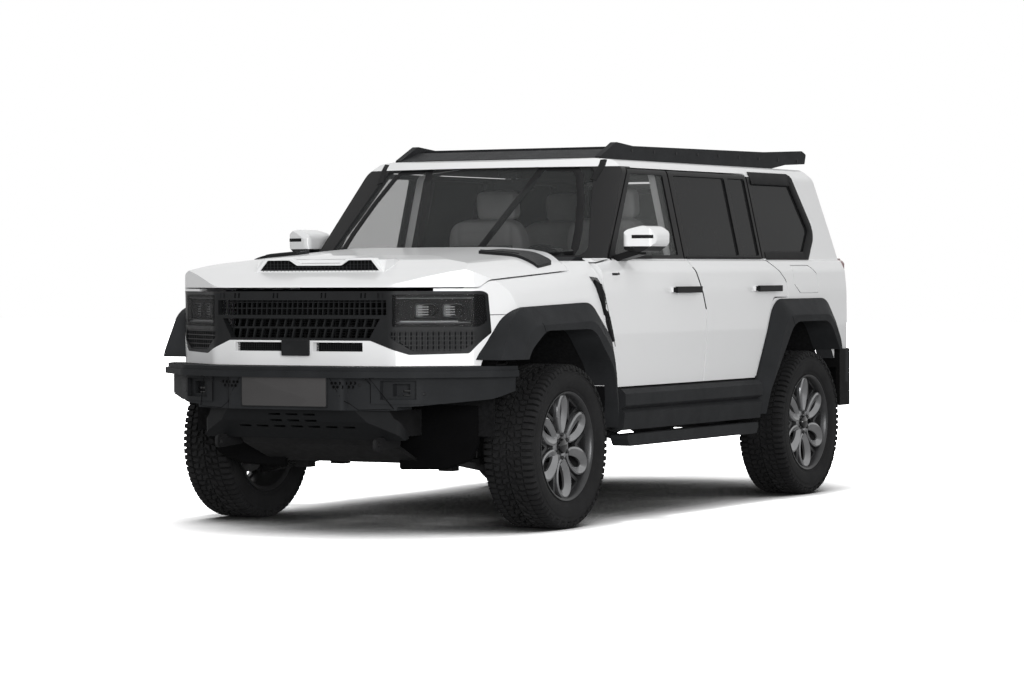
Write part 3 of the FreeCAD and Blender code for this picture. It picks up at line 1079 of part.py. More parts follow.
axle_half = hub_face
rear_tube = rod((rear, -axle_half, s.tyre_radius), (rear, axle_half, s.tyre_radius), s.axle_tube_radius)
diff = Part.makeCone(s.diff_radius * 0.5, s.diff_radius, s.diff_radius, V(rear, -s.diff_radius, s.tyre_radius), V(0, 1, 0))
diff = diff.fuse(Part.makeCone(s.diff_radius, s.diff_radius * 0.5, s.diff_radius, V(rear, 0, s.tyre_radius), V(0, 1, 0)))
links = [beam((rear + 40, side * (s.rail_half_spacing + 70), s.tyre_radius - 30), (rear + 700, side * (s.rail_half_spacing + 45), s.tyre_radius + 20), 44, 44)
         for side in (-1, 1)]
springs = [rod((rear, side * s.rear_spring_half_spacing, s.tyre_radius), (rear, side * s.rear_spring_half_spacing, s.sill_height + 120),
               s.rear_spring_radius * 0.6) for side in (-1, 1)]
dampers = [rod((rear - 70, side * (s.rear_spring_half_spacing + 60), s.tyre_radius - 20),
               (rear - 110, side * (s.rear_spring_half_spacing + 40), s.sill_height + 150), 24) for side in (-1, 1)]
brackets = [block(rear - 90, rear + 10, side * (s.rear_spring_half_spacing + 60) - 16, side * (s.rear_spring_half_spacing + 60) + 16,
                  s.tyre_radius - 40, s.tyre_radius + 10) for side in (-1, 1)]
rear_axle = joined([rear_tube, diff] + links + springs + dampers + brackets)
rear_axle = rear_axle.cut(ladder).cut(floor_piece).cut(rear_liner).cut(mirrored(rear_liner))
rear_axle = largest(rear_axle)
node("rear_axle", rear_axle)

# Wheels

LUG_COUNT = 20


def ring_points(radius, level):
    """Corners of a polygon round a wheel's axis, with a flat under each lug."""
    corner_radius = radius / math.cos(math.pi / LUG_COUNT)
    angles = [2 * math.pi * (index + 0.5) / LUG_COUNT for index in range(LUG_COUNT)]
    return [V(corner_radius * math.sin(angle), level, corner_radius * math.cos(angle)) for angle in angles]


def ring_solid(stations):
    """Closed ring of flat faces through polygons of the given radius and level."""
    rings = [ring_points(radius, level) for radius, level in stations]
    faces = []
    for ring, following in zip(rings, rings[1:] + rings[:1]):
        for index in range(LUG_COUNT):
            after = (index + 1) % LUG_COUNT
            corners = [ring[index], ring[after], following[after], following[index]]
            faces.append(Part.Face(Part.makePolygon(corners + corners[:1])))
    solid = Part.Solid(Part.Shell(faces))
    if solid.Volume < 0:
        solid.reverse()
    return solid


def tyre_solid():
    """Tyre with shoulder lugs, about its own centre."""
    tread = s.tread_width / 2
    wide = s.tyre_width / 2
    bead = s.rim_width / 2 - s.bead_margin
    seat = s.rim_radius + s.seat_gap * 4
    bore = s.bead_radius - 4
    stations = [(bore, -bead), (seat, -bead), (s.sidewall_radius, -wide), (s.shoulder_radius, -wide + 6), (s.tyre_radius, -tread),
                (s.tyre_radius, tread), (s.shoulder_radius, wide - 6), (s.sidewall_radius, wide), (seat, bead), (bore, bead)]
    solid = ring_solid(stations)
    notches = []
    for index in range(LUG_COUNT):
        angle = 360 * (index + 0.5) / LUG_COUNT
        for side in (-1, 1):
            y_low = tread - s.lug_length if side > 0 else -wide - run
            notch = Part.makeBox(s.lug_gap, wide + run - tread + s.lug_length, s.lug_depth * 4,
                                 V(-s.lug_gap / 2, y_low, s.tyre_radius - s.lug_depth))
            notch.rotate(V(0, 0, 0), V(0, 1, 0), angle)
            notches.append(notch)
    return solid.cut(Part.makeCompound(notches))


SPOKE_COUNT = 6
LOOP_SHARES = [(0.10, 0.27), (0.235, 0.60), (0.225, 0.86), (0.10, 0.985), (-0.10, 0.985), (-0.225, 0.86), (-0.235, 0.60), (-0.10, 0.27)]
LOOP_HOLE_SHARES = [(0.025, 0.40), (0.115, 0.60), (0.105, 0.80), (0.03, 0.88), (-0.03, 0.88), (-0.105, 0.80), (-0.115, 0.60), (-0.025, 0.40)]
WEB_SHARES = [(0.21, 0.985), (0.13, 0.86), (0.045, 0.72), (0.02, 0.55), (-0.02, 0.55), (-0.045, 0.72), (-0.13, 0.86), (-0.21, 0.985)]


def rim_solid():
    """Alloy rim with its outer face towards plus Y, about its own centre."""
    half = s.rim_width / 2
    profile = [(s.bead_radius - 4.3, -half + 7), (s.rim_radius, -half + 7), (s.rim_radius, -half), (s.barrel_radius, -half),
               (s.barrel_radius - s.rim_wall, -half + 14), (s.barrel_radius - s.rim_wall, half - 14), (s.barrel_radius, half),
               (s.rim_radius, half), (s.rim_radius, half - 7), (s.bead_radius - 4.3, half - 7)]
    barrel = Part.Face(Part.makePolygon([V(r, y, 0) for r, y in profile] + [V(profile[0][0], profile[0][1], 0)]))
    barrel = barrel.revolve(V(0, 0, 0), V(0, 1, 0), 360)
    face_high = half - s.spoke_inset + 6
    face_low = face_high - s.spoke_depth
    outer = shares(LOOP_SHARES, s.barrel_radius, s.barrel_radius)
    hole = shares(LOOP_HOLE_SHARES, s.barrel_radius, s.barrel_radius)
    web = shares(WEB_SHARES, s.barrel_radius, s.barrel_radius)
    loop = prism(round_all(outer, s.spoke_round), "XZ", face_low, face_high)
    loop = loop.cut(prism(round_all(hole, s.spoke_round / 2), "XZ", face_low - 1, face_high + 1))
    web = prism(round_all(web, s.spoke_round / 4), "XZ", face_low, face_high - s.web_setback)
    spokes = []
    for index in range(SPOKE_COUNT):
        for piece, turn in ((loop, index), (web, index + 0.5)):
            spoke = piece.copy()
            spoke.rotate(V(0, 0, 0), V(0, 1, 0), turn * 360 / SPOKE_COUNT)
            spokes.append(spoke)
    hub_disc = Part.makeCylinder(s.hub_radius, s.spoke_depth + 6, V(0, face_low - 6, 0), V(0, 1, 0))
    cap = Part.makeCylinder(s.hub_cap_radius, 12, V(0, face_high, 0), V(0, 1, 0))
    disc = Part.makeCylinder(s.disc_radius, s.disc_thickness, V(0, face_low - 40, 0), V(0, 1, 0))
    hat = Part.makeCylinder(s.hub_radius, 40, V(0, face_low - 40, 0), V(0, 1, 0))
    return joined([barrel, hub_disc, cap, disc, hat] + spokes)


tyre = tyre_solid()
rim = rim_solid()
for label, x, side in (("front_left", 0, 1), ("front_right", 0, -1), ("rear_left", rear, 1), ("rear_right", rear, -1)):
    shift = V(x, side * s.track_width / 2, s.tyre_radius)
    turn = (lambda shape: shape) if side > 0 else mirrored
    node("tyre_" + label, turn(tyre).translated(shift))
    node("rim_" + label, turn(rim).translated(shift))

# Front bumper and skid plate


def bumper_plan(setback):
    """Plan outline of the front bumper."""
    half = [(s.bumper_reach - setback, s.rail_half_spacing * 0.9, 400),
            (s.lamp_inner_reach + 70 - setback, s.lamp_inner_half_width + 150, 160),
            (s.corner_reach + 20 - setback, s.bumper_half_width - 40 - setback * 0.4, 160),
            (s.bumper_end_reach, s.bumper_half_width - setback * 0.4)]
    back = [(s.bumper_end_reach, s.body_half_width - 70), (s.corner_reach - 60, s.corner_half_width + 10, 60),
            (s.lamp_inner_reach - 90, s.lamp_inner_half_width + 60, 60), (s.nose_reach - 80, s.rail_half_spacing * 0.8)]
    points = half + back
    return points + [(p[0], -p[1]) + tuple(p[2:]) for p in reversed(points)]


lip_bar = joined([prism(bumper_plan(0), "XY", s.bumper_lip_height, s.lip_step_height),
                  prism(bumper_plan(s.lip_step), "XY", s.lip_step_height, s.bumper_top_height)])
bumper_face = prism(bumper_plan(s.bumper_face_setback), "XY", s.bumper_foot_height, s.bumper_lip_height + 4)
side_panel = prism(bumper_plan(s.bumper_face_setback - s.panel_stand), "XY", s.bumper_foot_height + s.pocket_depth * 1.4,
                   s.bumper_lip_height)
side_panel = side_panel.cut(block(0, s.bumper_reach, -s.panel_inner_half_width, s.panel_inner_half_width, 0, far))
plate_block = prism([(s.bumper_reach - 26, -s.plate_block_half_width, 30), (s.bumper_reach - 26, s.plate_block_half_width, 30),
                     (s.nose_reach - 40, s.plate_block_half_width + 60), (s.nose_reach - 40, -s.plate_block_half_width - 60)],
                    "XY", s.bumper_foot_height, s.bumper_lip_height + 2)
valance_side = [(s.nose_reach + 84, s.bumper_foot_height + 30), (s.nose_reach + 40, s.bumper_foot_height - 60),
                (s.nose_reach - 60, s.bumper_foot_height - 150), (s.nose_reach - 100, s.bumper_foot_height - 140),
                (s.nose_reach - 20, s.bumper_foot_height - 40), (s.nose_reach, s.bumper_foot_height + 30)]
valance_plan = [(s.nose_reach + 90, s.plate_block_half_width, 60), (s.nose_reach - 40, s.lamp_inner_half_width + 60, 60),
                (s.nose_reach - 110, s.lamp_inner_half_width + 60)]
valance_plan = valance_plan + [(p[0], -p[1]) + tuple(p[2:]) for p in reversed(valance_plan)]
valance = prism(valance_side, "XZ", -far, far).common(prism(valance_plan, "XY", 0, far))
for row, count in enumerate((3, 3, 7)):
    level = s.bumper_foot_height - s.pocket_depth * 1.4 * (row + 1)
    for index in range(count):
        middle = (index - (count - 1) / 2) * s.pocket_depth * 4.6
        valance = valance.cut(block(s.corner_reach, s.bumper_reach, middle - s.pocket_depth * 1.6, middle + s.pocket_depth * 1.6,
                                    level, level + s.pocket_depth * 0.45))
bumper = joined([lip_bar, bumper_face, side_panel, plate_block, valance])
fog_low, fog_high = s.bumper_foot_height + 52, s.bumper_lip_height - 14
for side in (-1, 1):
    low_y, high_y = sorted((side * (s.lamp_inner_half_width - 14), side * (s.lamp_inner_half_width + 150)))
    pocket = block(s.nose_reach - 160, s.bumper_reach, low_y, high_y, fog_low, fog_high)
    bumper = bumper.cut(pocket.cut(prism(bumper_plan(s.bumper_face_setback + s.pocket_depth), "XY", 0, far)))
    low_y, high_y = sorted((side * (s.lamp_inner_half_width + 30), side * (s.lamp_inner_half_width + 110)))
    pocket = block(s.nose_reach - 160, s.bumper_reach, low_y, high_y, fog_low + 16, fog_high - 16)
    bumper = bumper.cut(pocket.cut(prism(bumper_plan(s.bumper_face_setback + s.fog_depth), "XY", 0, far)))
side_foot = prism([(s.bumper_reach + 10, s.bumper_foot_height - 20), (s.bumper_reach + 10, s.bumper_foot_height),
                   (s.corner_reach, s.bumper_foot_height + 50), (s.bumper_end_reach - 10, s.bumper_foot_height + 92),
                   (s.bumper_end_reach - 10, s.bumper_foot_height - 20)], "XZ", s.lamp_inner_half_width + 60, far)
bumper = bumper.cut(side_foot).cut(mirrored(side_foot))
bumper = largest(bumper.cut(fascia).cut(both(wing)).cut(ladder).cut(both(front_flare)).cut(tow_hooks))
node("front_bumper", bumper)

skid_side = [(s.nose_reach + 60, s.bumper_foot_height - s.seat_gap), (s.nose_reach + 30, s.bumper_foot_height - s.seat_gap),
             (s.corner_reach + 90, s.skid_foot_height + 150 + s.skid_thickness), (s.corner_reach - 160, s.skid_foot_height + 40 + s.skid_thickness),
             (s.corner_reach - 400, s.skid_foot_height + s.skid_thickness + 40), (s.corner_reach - 400, s.skid_foot_height + 40),
             (s.corner_reach - 160, s.skid_foot_height + 40), (s.corner_reach + 100, s.skid_foot_height + 140)]
skid = prism(skid_side, "XZ", -s.skid_half_width, s.skid_half_width)
mounts_skid = [block(s.corner_reach - 220, s.corner_reach - 180, side * s.rail_half_spacing - 20, side * s.rail_half_spacing + 20,
                     s.skid_foot_height + 44, rail_mid - s.rail_height / 2 - 40 - s.seat_gap) for side in (-1, 1)]
skid = joined([skid] + mounts_skid).cut(ladder).cut(both(arms))
node("skid_plate", largest(skid.cut(bumper)))

# Side cladding and steps

clad_points = [(s.body_half_width - 60, s.cladding_top_height), (s.body_half_width + 16, s.cladding_top_height),
               (s.body_half_width + s.cladding_reach, s.cladding_top_height - 24), (s.body_half_width + s.cladding_reach, s.cladding_top_height - 84),
               (s.body_half_width + 12, s.cladding_top_height - 104), (s.body_half_width + s.cladding_reach - 4, s.cladding_top_height - 124),
               (s.body_half_width + s.cladding_reach - 16, s.cladding_foot_height), (s.body_half_width - 90, s.cladding_foot_height)]
clad_front = -s.door_foot_setback - 10
clad_rear = rear + s.arch_half_length * 1.06
cladding = prism(clad_points, "YZ", clad_rear, clad_front)
cladding = largest(cladding.cut(skin).cut(rear_flare).cut(front_flare))
node("side_cladding", both(cladding))
step_side = [(-620, s.step_top_height, 20), (-660, s.step_foot_height, 20), (rear + 720, s.step_foot_height, 20),
             (rear + 680, s.step_top_height, 20)]
step_board = prism(step_side, "XZ", s.step_half_width - s.step_width, s.step_half_width)
step_legs = [rod((x, s.rail_half_spacing + s.rail_width / 2 + s.seat_gap, s.rail_level - 60),
                 (x, s.step_half_width - s.step_width / 2, s.step_foot_height + s.step_leg_radius + 4), s.step_leg_radius)
             for x in (-760, -1400, rear + 830)]
step = joined([step_board] + step_legs).cut(cladding).cut(ladder)
node("side_steps", both(largest(step)))

# Roof rack

rack_z = s.rack_level
rail_side = [(-s.rack_front_setback, s.roof_side_height - 20), (-s.rack_front_setback, s.roof_side_height + 20, 8),
             (-s.rack_front_setback - 183, s.rack_hump_height, 40), (-s.rack_front_setback - 380, s.rack_hump_height - 16, 200),
             (-s.rack_rear_setback + 600, s.rack_hump_height, 2000), (-s.rack_rear_setback + 60, s.rack_top_height, 60),
             (-s.rack_rear_setback, s.rack_top_height - 20, 10), (-s.rack_rear_setback + 20, s.rack_level - 6),
             (-s.rack_rear_setback + 300, s.roof_height - 12), (-s.rack_rear_setback + 700, s.roof_side_height - 20)]
rack_rail = prism(rail_side, "XZ", s.rack_half_width - s.rack_wall, s.rack_half_width)
fairing_side = [(-s.rack_front_setback, s.roof_side_height - 20), (-s.rack_front_setback, s.roof_side_height + 16),
                (-s.rack_front_setback - 190, s.rack_level + 14), (-s.rack_front_setback - 230, s.rack_level + 14),
                (-s.rack_front_setback - 230, s.rack_level - 20)]
fairing = prism(fairing_side, "XZ", -s.rack_half_width + s.rack_wall / 2, s.rack_half_width - s.rack_wall / 2)
tail_bar = block(-s.rack_rear_setback + 16, -s.rack_rear_setback + 70, -s.rack_half_width + s.rack_wall / 2,
                 s.rack_half_width - s.rack_wall / 2, s.rack_level + 6, s.rack_top_height - 16)
rack_bars = []
bar_count = 8
for index in range(bar_count):
    x = -s.rack_front_setback - 290 - index * (s.rack_rear_setback - s.rack_front_setback - 520) / (bar_count - 1)
    rack_bars.append(block(x - s.rack_bar_width / 2, x + s.rack_bar_width / 2, -s.rack_half_width + s.rack_wall / 2,
                           s.rack_half_width - s.rack_wall / 2, rack_z, rack_z + s.rack_height))
rack = joined([rack_rail, mirrored(rack_rail), fairing, tail_bar] + rack_bars).cut(skin)
node("roof_rack", largest(rack))

# Rear bumper and tail lamps

tail_x = rear - s.tail_reach
bumper_corner = rear - s.arch_half_length * REAR_CORNER_SHARE
bumper_points = [(rear - s.rear_bumper_reach, s.rail_half_spacing, 300),
                 (rear - s.rear_bumper_reach + s.rail_width * 1.2, s.tailgate_half_width + s.rail_width, 90),
                 (rear - s.tail_reach * 0.8, s.body_half_width + s.rear_bumper_stand, 60),
                 (bumper_corner, s.body_half_width + s.rear_bumper_stand),
                 (bumper_corner, s.body_half_width - s.door_wall), (tail_x + s.door_wall, s.tailgate_half_width, 60),
                 (tail_x + s.rear_bumper_stand * 2, s.rail_half_spacing)]
bumper_points = bumper_points + [(p[0], -p[1]) + tuple(p[2:]) for p in reversed(bumper_points)]
rear_bumper = prism(bumper_points, "XY", s.rear_bumper_foot_height, s.rear_corner_top_height - s.seat_gap)
bumper_side = [(far, s.rear_bumper_foot_height), (far, s.rear_corner_top_height),
               (rear - s.tail_reach, s.rear_corner_top_height), (rear - s.tail_reach - run, s.rear_bumper_top_height),
               (rear - s.rear_bumper_reach + 8, s.rear_bumper_top_height, 12),
               (rear - s.rear_bumper_reach, s.waist_height * 0.68, 30),
               (rear - s.rear_bumper_reach + s.rail_width, s.rear_bumper_foot_height)]
rear_bumper = rear_bumper.common(prism(bumper_side, "XZ", -far, far))
rear_bumper = rear_bumper.cut(block(-far, tail_x + s.door_wall, -s.tailgate_half_width, s.tailgate_half_width,
                                    s.rear_step_height, far))
step_pad = block(rear - s.rear_bumper_reach + 30, tail_x - s.rear_bumper_stand, -s.rail_half_spacing, s.rail_half_spacing,
                 s.rear_step_height - 8, far)
bumper_inner = [(p[0] + s.bumper_wall, p[1] - s.bumper_wall * (1 if p[1] > 0 else -1)) for p in bumper_points]
rear_bumper = rear_bumper.cut(prism(bumper_inner, "XY", 0, s.rear_step_height - s.bumper_wall))
rear_bumper = rear_bumper.cut(step_pad).cut(body).cut(tailgate).cut(ladder).cut(both(rear_flare)).cut(floor_piece)
arch_clear = prism(arch_outline(REAR_ARCH_SHARES, rear, 0), "XZ", -far, far)
rear_bumper = largest(rear_bumper.cut(arch_clear).cut(spare).cut(both(rear_liner)))
node("rear_bumper", rear_bumper)

lamp_shell = skin.translated(V(-s.tail_lamp_depth, 0, 0)).cut(skin)
tail_lamp = lamp_shell.common(block(tail_x - 100, tail_x + 120, s.tailgate_half_width + s.tail_lamp_gap, s.tail_lamp_half_width + 30,
                                    s.tail_lamp_foot_height, s.tail_lamp_top_height))
node("tail_lamps", both(largest(tail_lamp)))

# Wing vents

vent_side = [(-371, 1262), (-440, 1256), (-470, 1200), (-540, 950), (-552, 905), (-528, 918), (-452, 1130), (-420, 1180)]
vent = front.translated(V(0, 6, 0)).cut(front.translated(V(0, s.seat_gap, 0)))
vent = vent.common(prism(vent_side, "XZ", s.rail_half_spacing, far)).cut(front_flare)
node("wing_vents", both(largest(vent)))

# Cabin

dash_side = [(-s.firewall_setback - s.firewall_thickness - s.seat_gap, s.dash_foot_height),
             (-s.firewall_setback - s.firewall_thickness - s.seat_gap, s.dash_top_height - 40),
             (-s.firewall_setback - 160, s.dash_top_height, 30), (-s.firewall_setback - s.dash_depth, s.dash_top_height - 60, 40),
             (-s.firewall_setback - s.dash_depth + 90, s.dash_foot_height, 40)]
dash_half = s.body_half_width - s.door_wall - 70
dash = prism(dash_side, "XZ", -dash_half, dash_half)
column_start = (-s.firewall_setback - s.dash_depth + 60, s.seat_half_spacing, s.dash_top_height - 130)
column_end = (-s.firewall_setback - s.dash_depth - 110, s.seat_half_spacing, s.dash_top_height - 60)
column = rod(column_start, column_end, 28)
column_line = V(*column_end) - V(*column_start)
grip_half = column_line * (s.steering_grip_radius / column_line.Length)
grip_rings = []
for radius in (s.steering_wheel_radius + s.steering_grip_radius, s.steering_wheel_radius - s.steering_grip_radius):
    rim_ring = Part.makeCircle(radius, V(*column_end) - grip_half, column_line).discretize(25)
    grip_rings.append(Part.Face(Part.makePolygon(rim_ring)).extrude(grip_half * 2))
grip = grip_rings[0].cut(grip_rings[1])
spoke_bars = [rod(column_end, (column_end[0], column_end[1] + side * (s.steering_wheel_radius), column_end[2]), 14) for side in (-1, 1)]
dashboard = joined([dash, column, grip] + spoke_bars).cut(body).cut(cowl)
node("dashboard", largest(dashboard))


def seat(x_front, y_mid, width, base_level):
    """Seat with its base, cushion, back and head rest."""
    half = width / 2
    side = [(x_front, s.seat_level + 20, 60), (x_front, s.seat_level + s.seat_cushion_height, 50),
            (x_front - s.seat_length + 30, s.seat_level + s.seat_cushion_height - 30, 20),
            (x_front - s.seat_length - 110, s.seat_level + s.seat_cushion_height + s.seat_back_height, 40),
            (x_front - s.seat_length - 110 - s.seat_back_thickness * 0.7, s.seat_level + s.seat_cushion_height + s.seat_back_height - 10, 40),
            (x_front - s.seat_length - s.seat_back_thickness, s.seat_level + 40, 60), (x_front - s.seat_length, s.seat_level, 40)]
    form = prism(side, "XZ", y_mid - half, y_mid + half)
    base = block(x_front - s.seat_length + 20, x_front - 60, y_mid - half * 0.8, y_mid + half * 0.8, base_level, s.seat_level + 60)
    top = s.seat_level + s.seat_cushion_height + s.seat_back_height
    rest_x = x_front - s.seat_length - 110 - s.seat_back_thickness * 0.7
    rests = []
    rest_spots = [y_mid] if width < s.bench_half_width * 1.5 else [y_mid - half * 0.6, y_mid + half * 0.6]
    for spot in rest_spots:
        rests.append(prism([(rest_x - 6, top - 20, 20), (rest_x + 90, top - 20, 20), (rest_x + 74, top + s.head_rest_height * 0.8, 40),
                            (rest_x - 12, top + s.head_rest_height * 0.8, 40)], "XZ", spot - 130, spot + 130))
    return joined([form, base] + rests)


seat_base = s.floor_height + s.seat_gap
seats = [seat(-s.front_seat_setback, side * s.seat_half_spacing, s.seat_width, seat_base) for side in (-1, 1)]
seats.append(seat(-s.rear_seat_setback, 0, s.bench_half_width * 2, seat_base))
seats = [largest(piece.cut(body).cut(arch_rear_cut).cut(mirrored(arch_rear_cut)).cut(grouped(both_liners))) for piece in seats]
node("seats", grouped(seats))

doc.recompute()
faults = []
for item in doc.Objects:
    if "Invalid" in item.State or "Error" in item.State:
        faults.append(item.Label + " " + str(item.State))
for piece in nodes:
    if piece.Shape.isNull() or not piece.Shape.isValid():
        faults.append(piece.Label + " has no valid shape")
if faults:
    raise RuntimeError("; ".join(faults))

os.makedirs("parts", exist_ok=True)
for piece in nodes:
    piece.Shape.exportStep("parts/" + piece.Label + ".step")
print(len(nodes), "pieces written")
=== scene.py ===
import math

import bmesh
import bpy
from mathutils import Matrix, Vector
from mathutils.bvhtree import BVHTree


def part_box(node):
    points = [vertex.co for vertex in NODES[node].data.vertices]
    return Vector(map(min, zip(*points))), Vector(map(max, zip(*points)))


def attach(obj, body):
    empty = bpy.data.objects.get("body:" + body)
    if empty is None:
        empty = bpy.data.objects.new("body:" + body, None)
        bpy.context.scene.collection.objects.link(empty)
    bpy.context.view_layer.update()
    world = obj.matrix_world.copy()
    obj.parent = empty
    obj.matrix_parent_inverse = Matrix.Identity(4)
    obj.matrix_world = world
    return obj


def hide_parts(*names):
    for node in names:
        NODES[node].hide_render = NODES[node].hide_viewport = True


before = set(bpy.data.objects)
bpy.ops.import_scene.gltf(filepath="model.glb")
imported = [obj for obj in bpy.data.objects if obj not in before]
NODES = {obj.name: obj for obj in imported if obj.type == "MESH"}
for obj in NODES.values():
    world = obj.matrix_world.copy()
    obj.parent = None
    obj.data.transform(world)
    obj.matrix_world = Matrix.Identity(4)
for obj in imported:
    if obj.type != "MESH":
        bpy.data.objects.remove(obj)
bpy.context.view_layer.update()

SCENE = bpy.context.scene
SIDES = (("left", 1), ("right", -1))
UP = Vector((0, 0, 1))
TO_FRONT, TO_REAR, DOWN = (1, 0, 0), (-1, 0, 0), (0, 0, -1)

# Lengths from the frame that the added pieces hang on, in metres
AXLE_FRONT = 1.55
AXLE_REAR = -1.37
HALF_TRACK = 0.90
WHEEL_RADIUS = 0.4135
BELT_HEIGHT = 1.357
WHEELS = {
    "front_left": (AXLE_FRONT, 1), "front_right": (AXLE_FRONT, -1),
    "rear_left": (AXLE_REAR, 1), "rear_right": (AXLE_REAR, -1),
}


def fore(x):
    """Place along the vehicle from a distance ahead of the front axle."""
    return AXLE_FRONT + x


# Where the rays that look for a surface start: ahead of the vehicle, behind it and beside it
FAR_AHEAD, AHEAD, NEAR_AHEAD, BEHIND, NEAR_BEHIND, BESIDE, NEAR_BESIDE = (
    fore(2.0), fore(1.3), fore(1.2), -3.2, -3.0, 1.4, 1.2)


# Camera at the photograph's view

def set_camera():
    """The photograph's viewpoint, fitted to the wheels and body lines; lengths of the picture are in pixels."""
    yaw, pitch, roll = 3.6517, -0.0169, 0.0042
    wide, tall, focal, middle_x, middle_y = 1024, 683, 3314.6, 521.51, 328.44
    forward = Vector((math.cos(pitch) * math.cos(yaw), math.cos(pitch) * math.sin(yaw), math.sin(pitch)))
    right = forward.cross(UP).normalized()
    up = right.cross(forward)
    turn = Matrix.Rotation(roll, 3, forward)
    right, up = turn @ right, turn @ up
    data = bpy.data.cameras.new("photo_camera")
    data.sensor_width = 36.0
    data.lens = focal / wide * data.sensor_width
    data.shift_x = -(middle_x - wide / 2) / wide
    data.shift_y = (middle_y - tall / 2) / wide
    data.clip_end = 500
    camera = bpy.data.objects.new("photo_camera", data)
    camera.matrix_world = Matrix((
        (right.x, up.x, -forward.x, 16.132), (right.y, up.y, -forward.y, 8.9185),
        (right.z, up.z, -forward.z, 1.2848), (0, 0, 0, 1)))
    SCENE.collection.objects.link(camera)
    SCENE.camera = camera


set_camera()


# Materials

def shade(colour, share):
    """A colour made lighter or darker, with its alpha of one."""
    return [min(1.0, channel * share) for channel in colour[:3]] + [1.0]


class Finish:
    """One material with its nodes, built step by step."""

    def __init__(self, name, colour, roughness, metallic=0.0, specular=0.5):
        self.material = bpy.data.materials.new(name)
        self.material.use_nodes = True
        self.tree = self.material.node_tree
        self.shader = self.tree.nodes["Principled BSDF"]
        self.colour = colour
        self.set("Base Color", shade(colour, 1))
        self.set("Roughness", roughness)
        self.set("Metallic", metallic)
        self.set("Specular IOR Level", specular)
        self.roughness = roughness
        self.place = self.node("ShaderNodeTexCoord").outputs["Object"]
        self.height = None

    def node(self, kind, **values):
        made = self.tree.nodes.new(kind)
        for key, value in values.items():
            setattr(made, key, value)
        return made

    def set(self, socket, value):
        self.shader.inputs[socket].default_value = value
        return self

    def link(self, source, target):
        self.tree.links.new(source, target)

    def maths(self, operation, first, second):
        """Outcome of a sum or a test on a socket and a second socket or a number."""
        made = self.node("ShaderNodeMath", operation=operation)
        self.link(first, made.inputs[0])
        if isinstance(second, float):
            made.inputs[1].default_value = second
        else:
            self.link(second, made.inputs[1])
        return made.outputs[0]

    def span(self, value, low, high, start=0.0, end=1.0, **values):
        """Value stretched from one span, nought to one if none is given, onto another."""
        made = self.node("ShaderNodeMapRange", **values)
        for socket, level in (("From Min", start), ("From Max", end), ("To Min", low), ("To Max", high)):
            made.inputs[socket].default_value = level
        self.link(value, made.inputs["Value"])
        return made.outputs["Result"]

    def axes(self, vector):
        """The three numbers of a vector, by axis."""
        split = self.node("ShaderNodeSeparateXYZ")
        self.link(vector, split.inputs[0])
        return split.outputs

    def noise(self, scale, detail):
        cloud = self.node("ShaderNodeTexNoise")
        cloud.inputs["Scale"].default_value = scale
        cloud.inputs["Detail"].default_value = detail
        self.link(self.place, cloud.inputs["Vector"])
        return cloud.outputs["Fac"]

    def cells(self, scale):
        crystal = self.node("ShaderNodeTexVoronoi")
        crystal.inputs["Scale"].default_value = scale
        self.link(self.place, crystal.inputs["Vector"])
        return crystal.outputs["Distance"]

    def mottle(self, share, scale):
        """Slow change of tone over the piece."""
        ramp = self.node("ShaderNodeValToRGB")
        for index, position, tone in ((0, 0.3, 1 - share), (1, 0.7, 1 + share)):
            ramp.color_ramp.elements[index].position = position
            ramp.color_ramp.elements[index].color = shade(self.colour, tone)
        self.link(self.noise(scale, 3.0), ramp.inputs["Fac"])
        self.link(ramp.outputs["Color"], self.shader.inputs["Base Color"])
        return self

    def smudge(self, spread, scale):
        """Slow change of roughness over the piece."""
        low, high = max(0.0, self.roughness - spread), min(1.0, self.roughness + spread)
        self.link(self.span(self.noise(scale, 4.0), low, high), self.shader.inputs["Roughness"])
        return self

    def bump(self, height, depth, strength):
        """Fine relief from one pattern, added to what is there."""
        relief = self.node("ShaderNodeBump")
        relief.inputs["Strength"].default_value = strength
        relief.inputs["Distance"].default_value = depth
        self.link(height, relief.inputs["Height"])
        if self.height is not None:
            self.link(self.height, relief.inputs["Normal"])
        self.height = relief.outputs["Normal"]
        self.link(self.height, self.shader.inputs["Normal"])
        return self

    def coat(self, weight, roughness=0.03):
        self.set("Coat Weight", weight)
        self.set("Coat Roughness", roughness)
        return self

    def mask(self, tests):
        """One where every test of the form (axis, sign, level) holds in the frame's metres."""
        place = self.axes(self.place)
        whole = None
        for axis, sign, level in tests:
            check = self.maths("GREATER_THAN" if sign > 0 else "LESS_THAN", place[axis], level)
            whole = check if whole is None else self.maths("MULTIPLY", whole, check)
        return whole

    def inside(self):
        """One on faces that look in towards the cabin: side walls, roof lining and rear wall."""
        facing = self.axes(self.node("ShaderNodeTexCoord").outputs["Normal"])
        across = self.maths("MULTIPLY", facing["Y"], self.axes(self.place)["Y"])
        inward = self.maths("LESS_THAN", across, -0.12)
        return self.maths("MAXIMUM", inward, self.maths("LESS_THAN", facing["Z"], -0.35))

    def second_colour(self, colour, mask):
        """A second colour where the mask is one, over the colour that is linked now."""
        mix = self.node("ShaderNodeMix", data_type="RGBA")
        before = self.shader.inputs["Base Color"].links[0].from_socket
        self.link(mask, mix.inputs[0])
        self.link(before, mix.inputs[6])
        mix.inputs[7].default_value = shade(colour, 1)
        self.link(mix.outputs[2], self.shader.inputs["Base Color"])
        return self


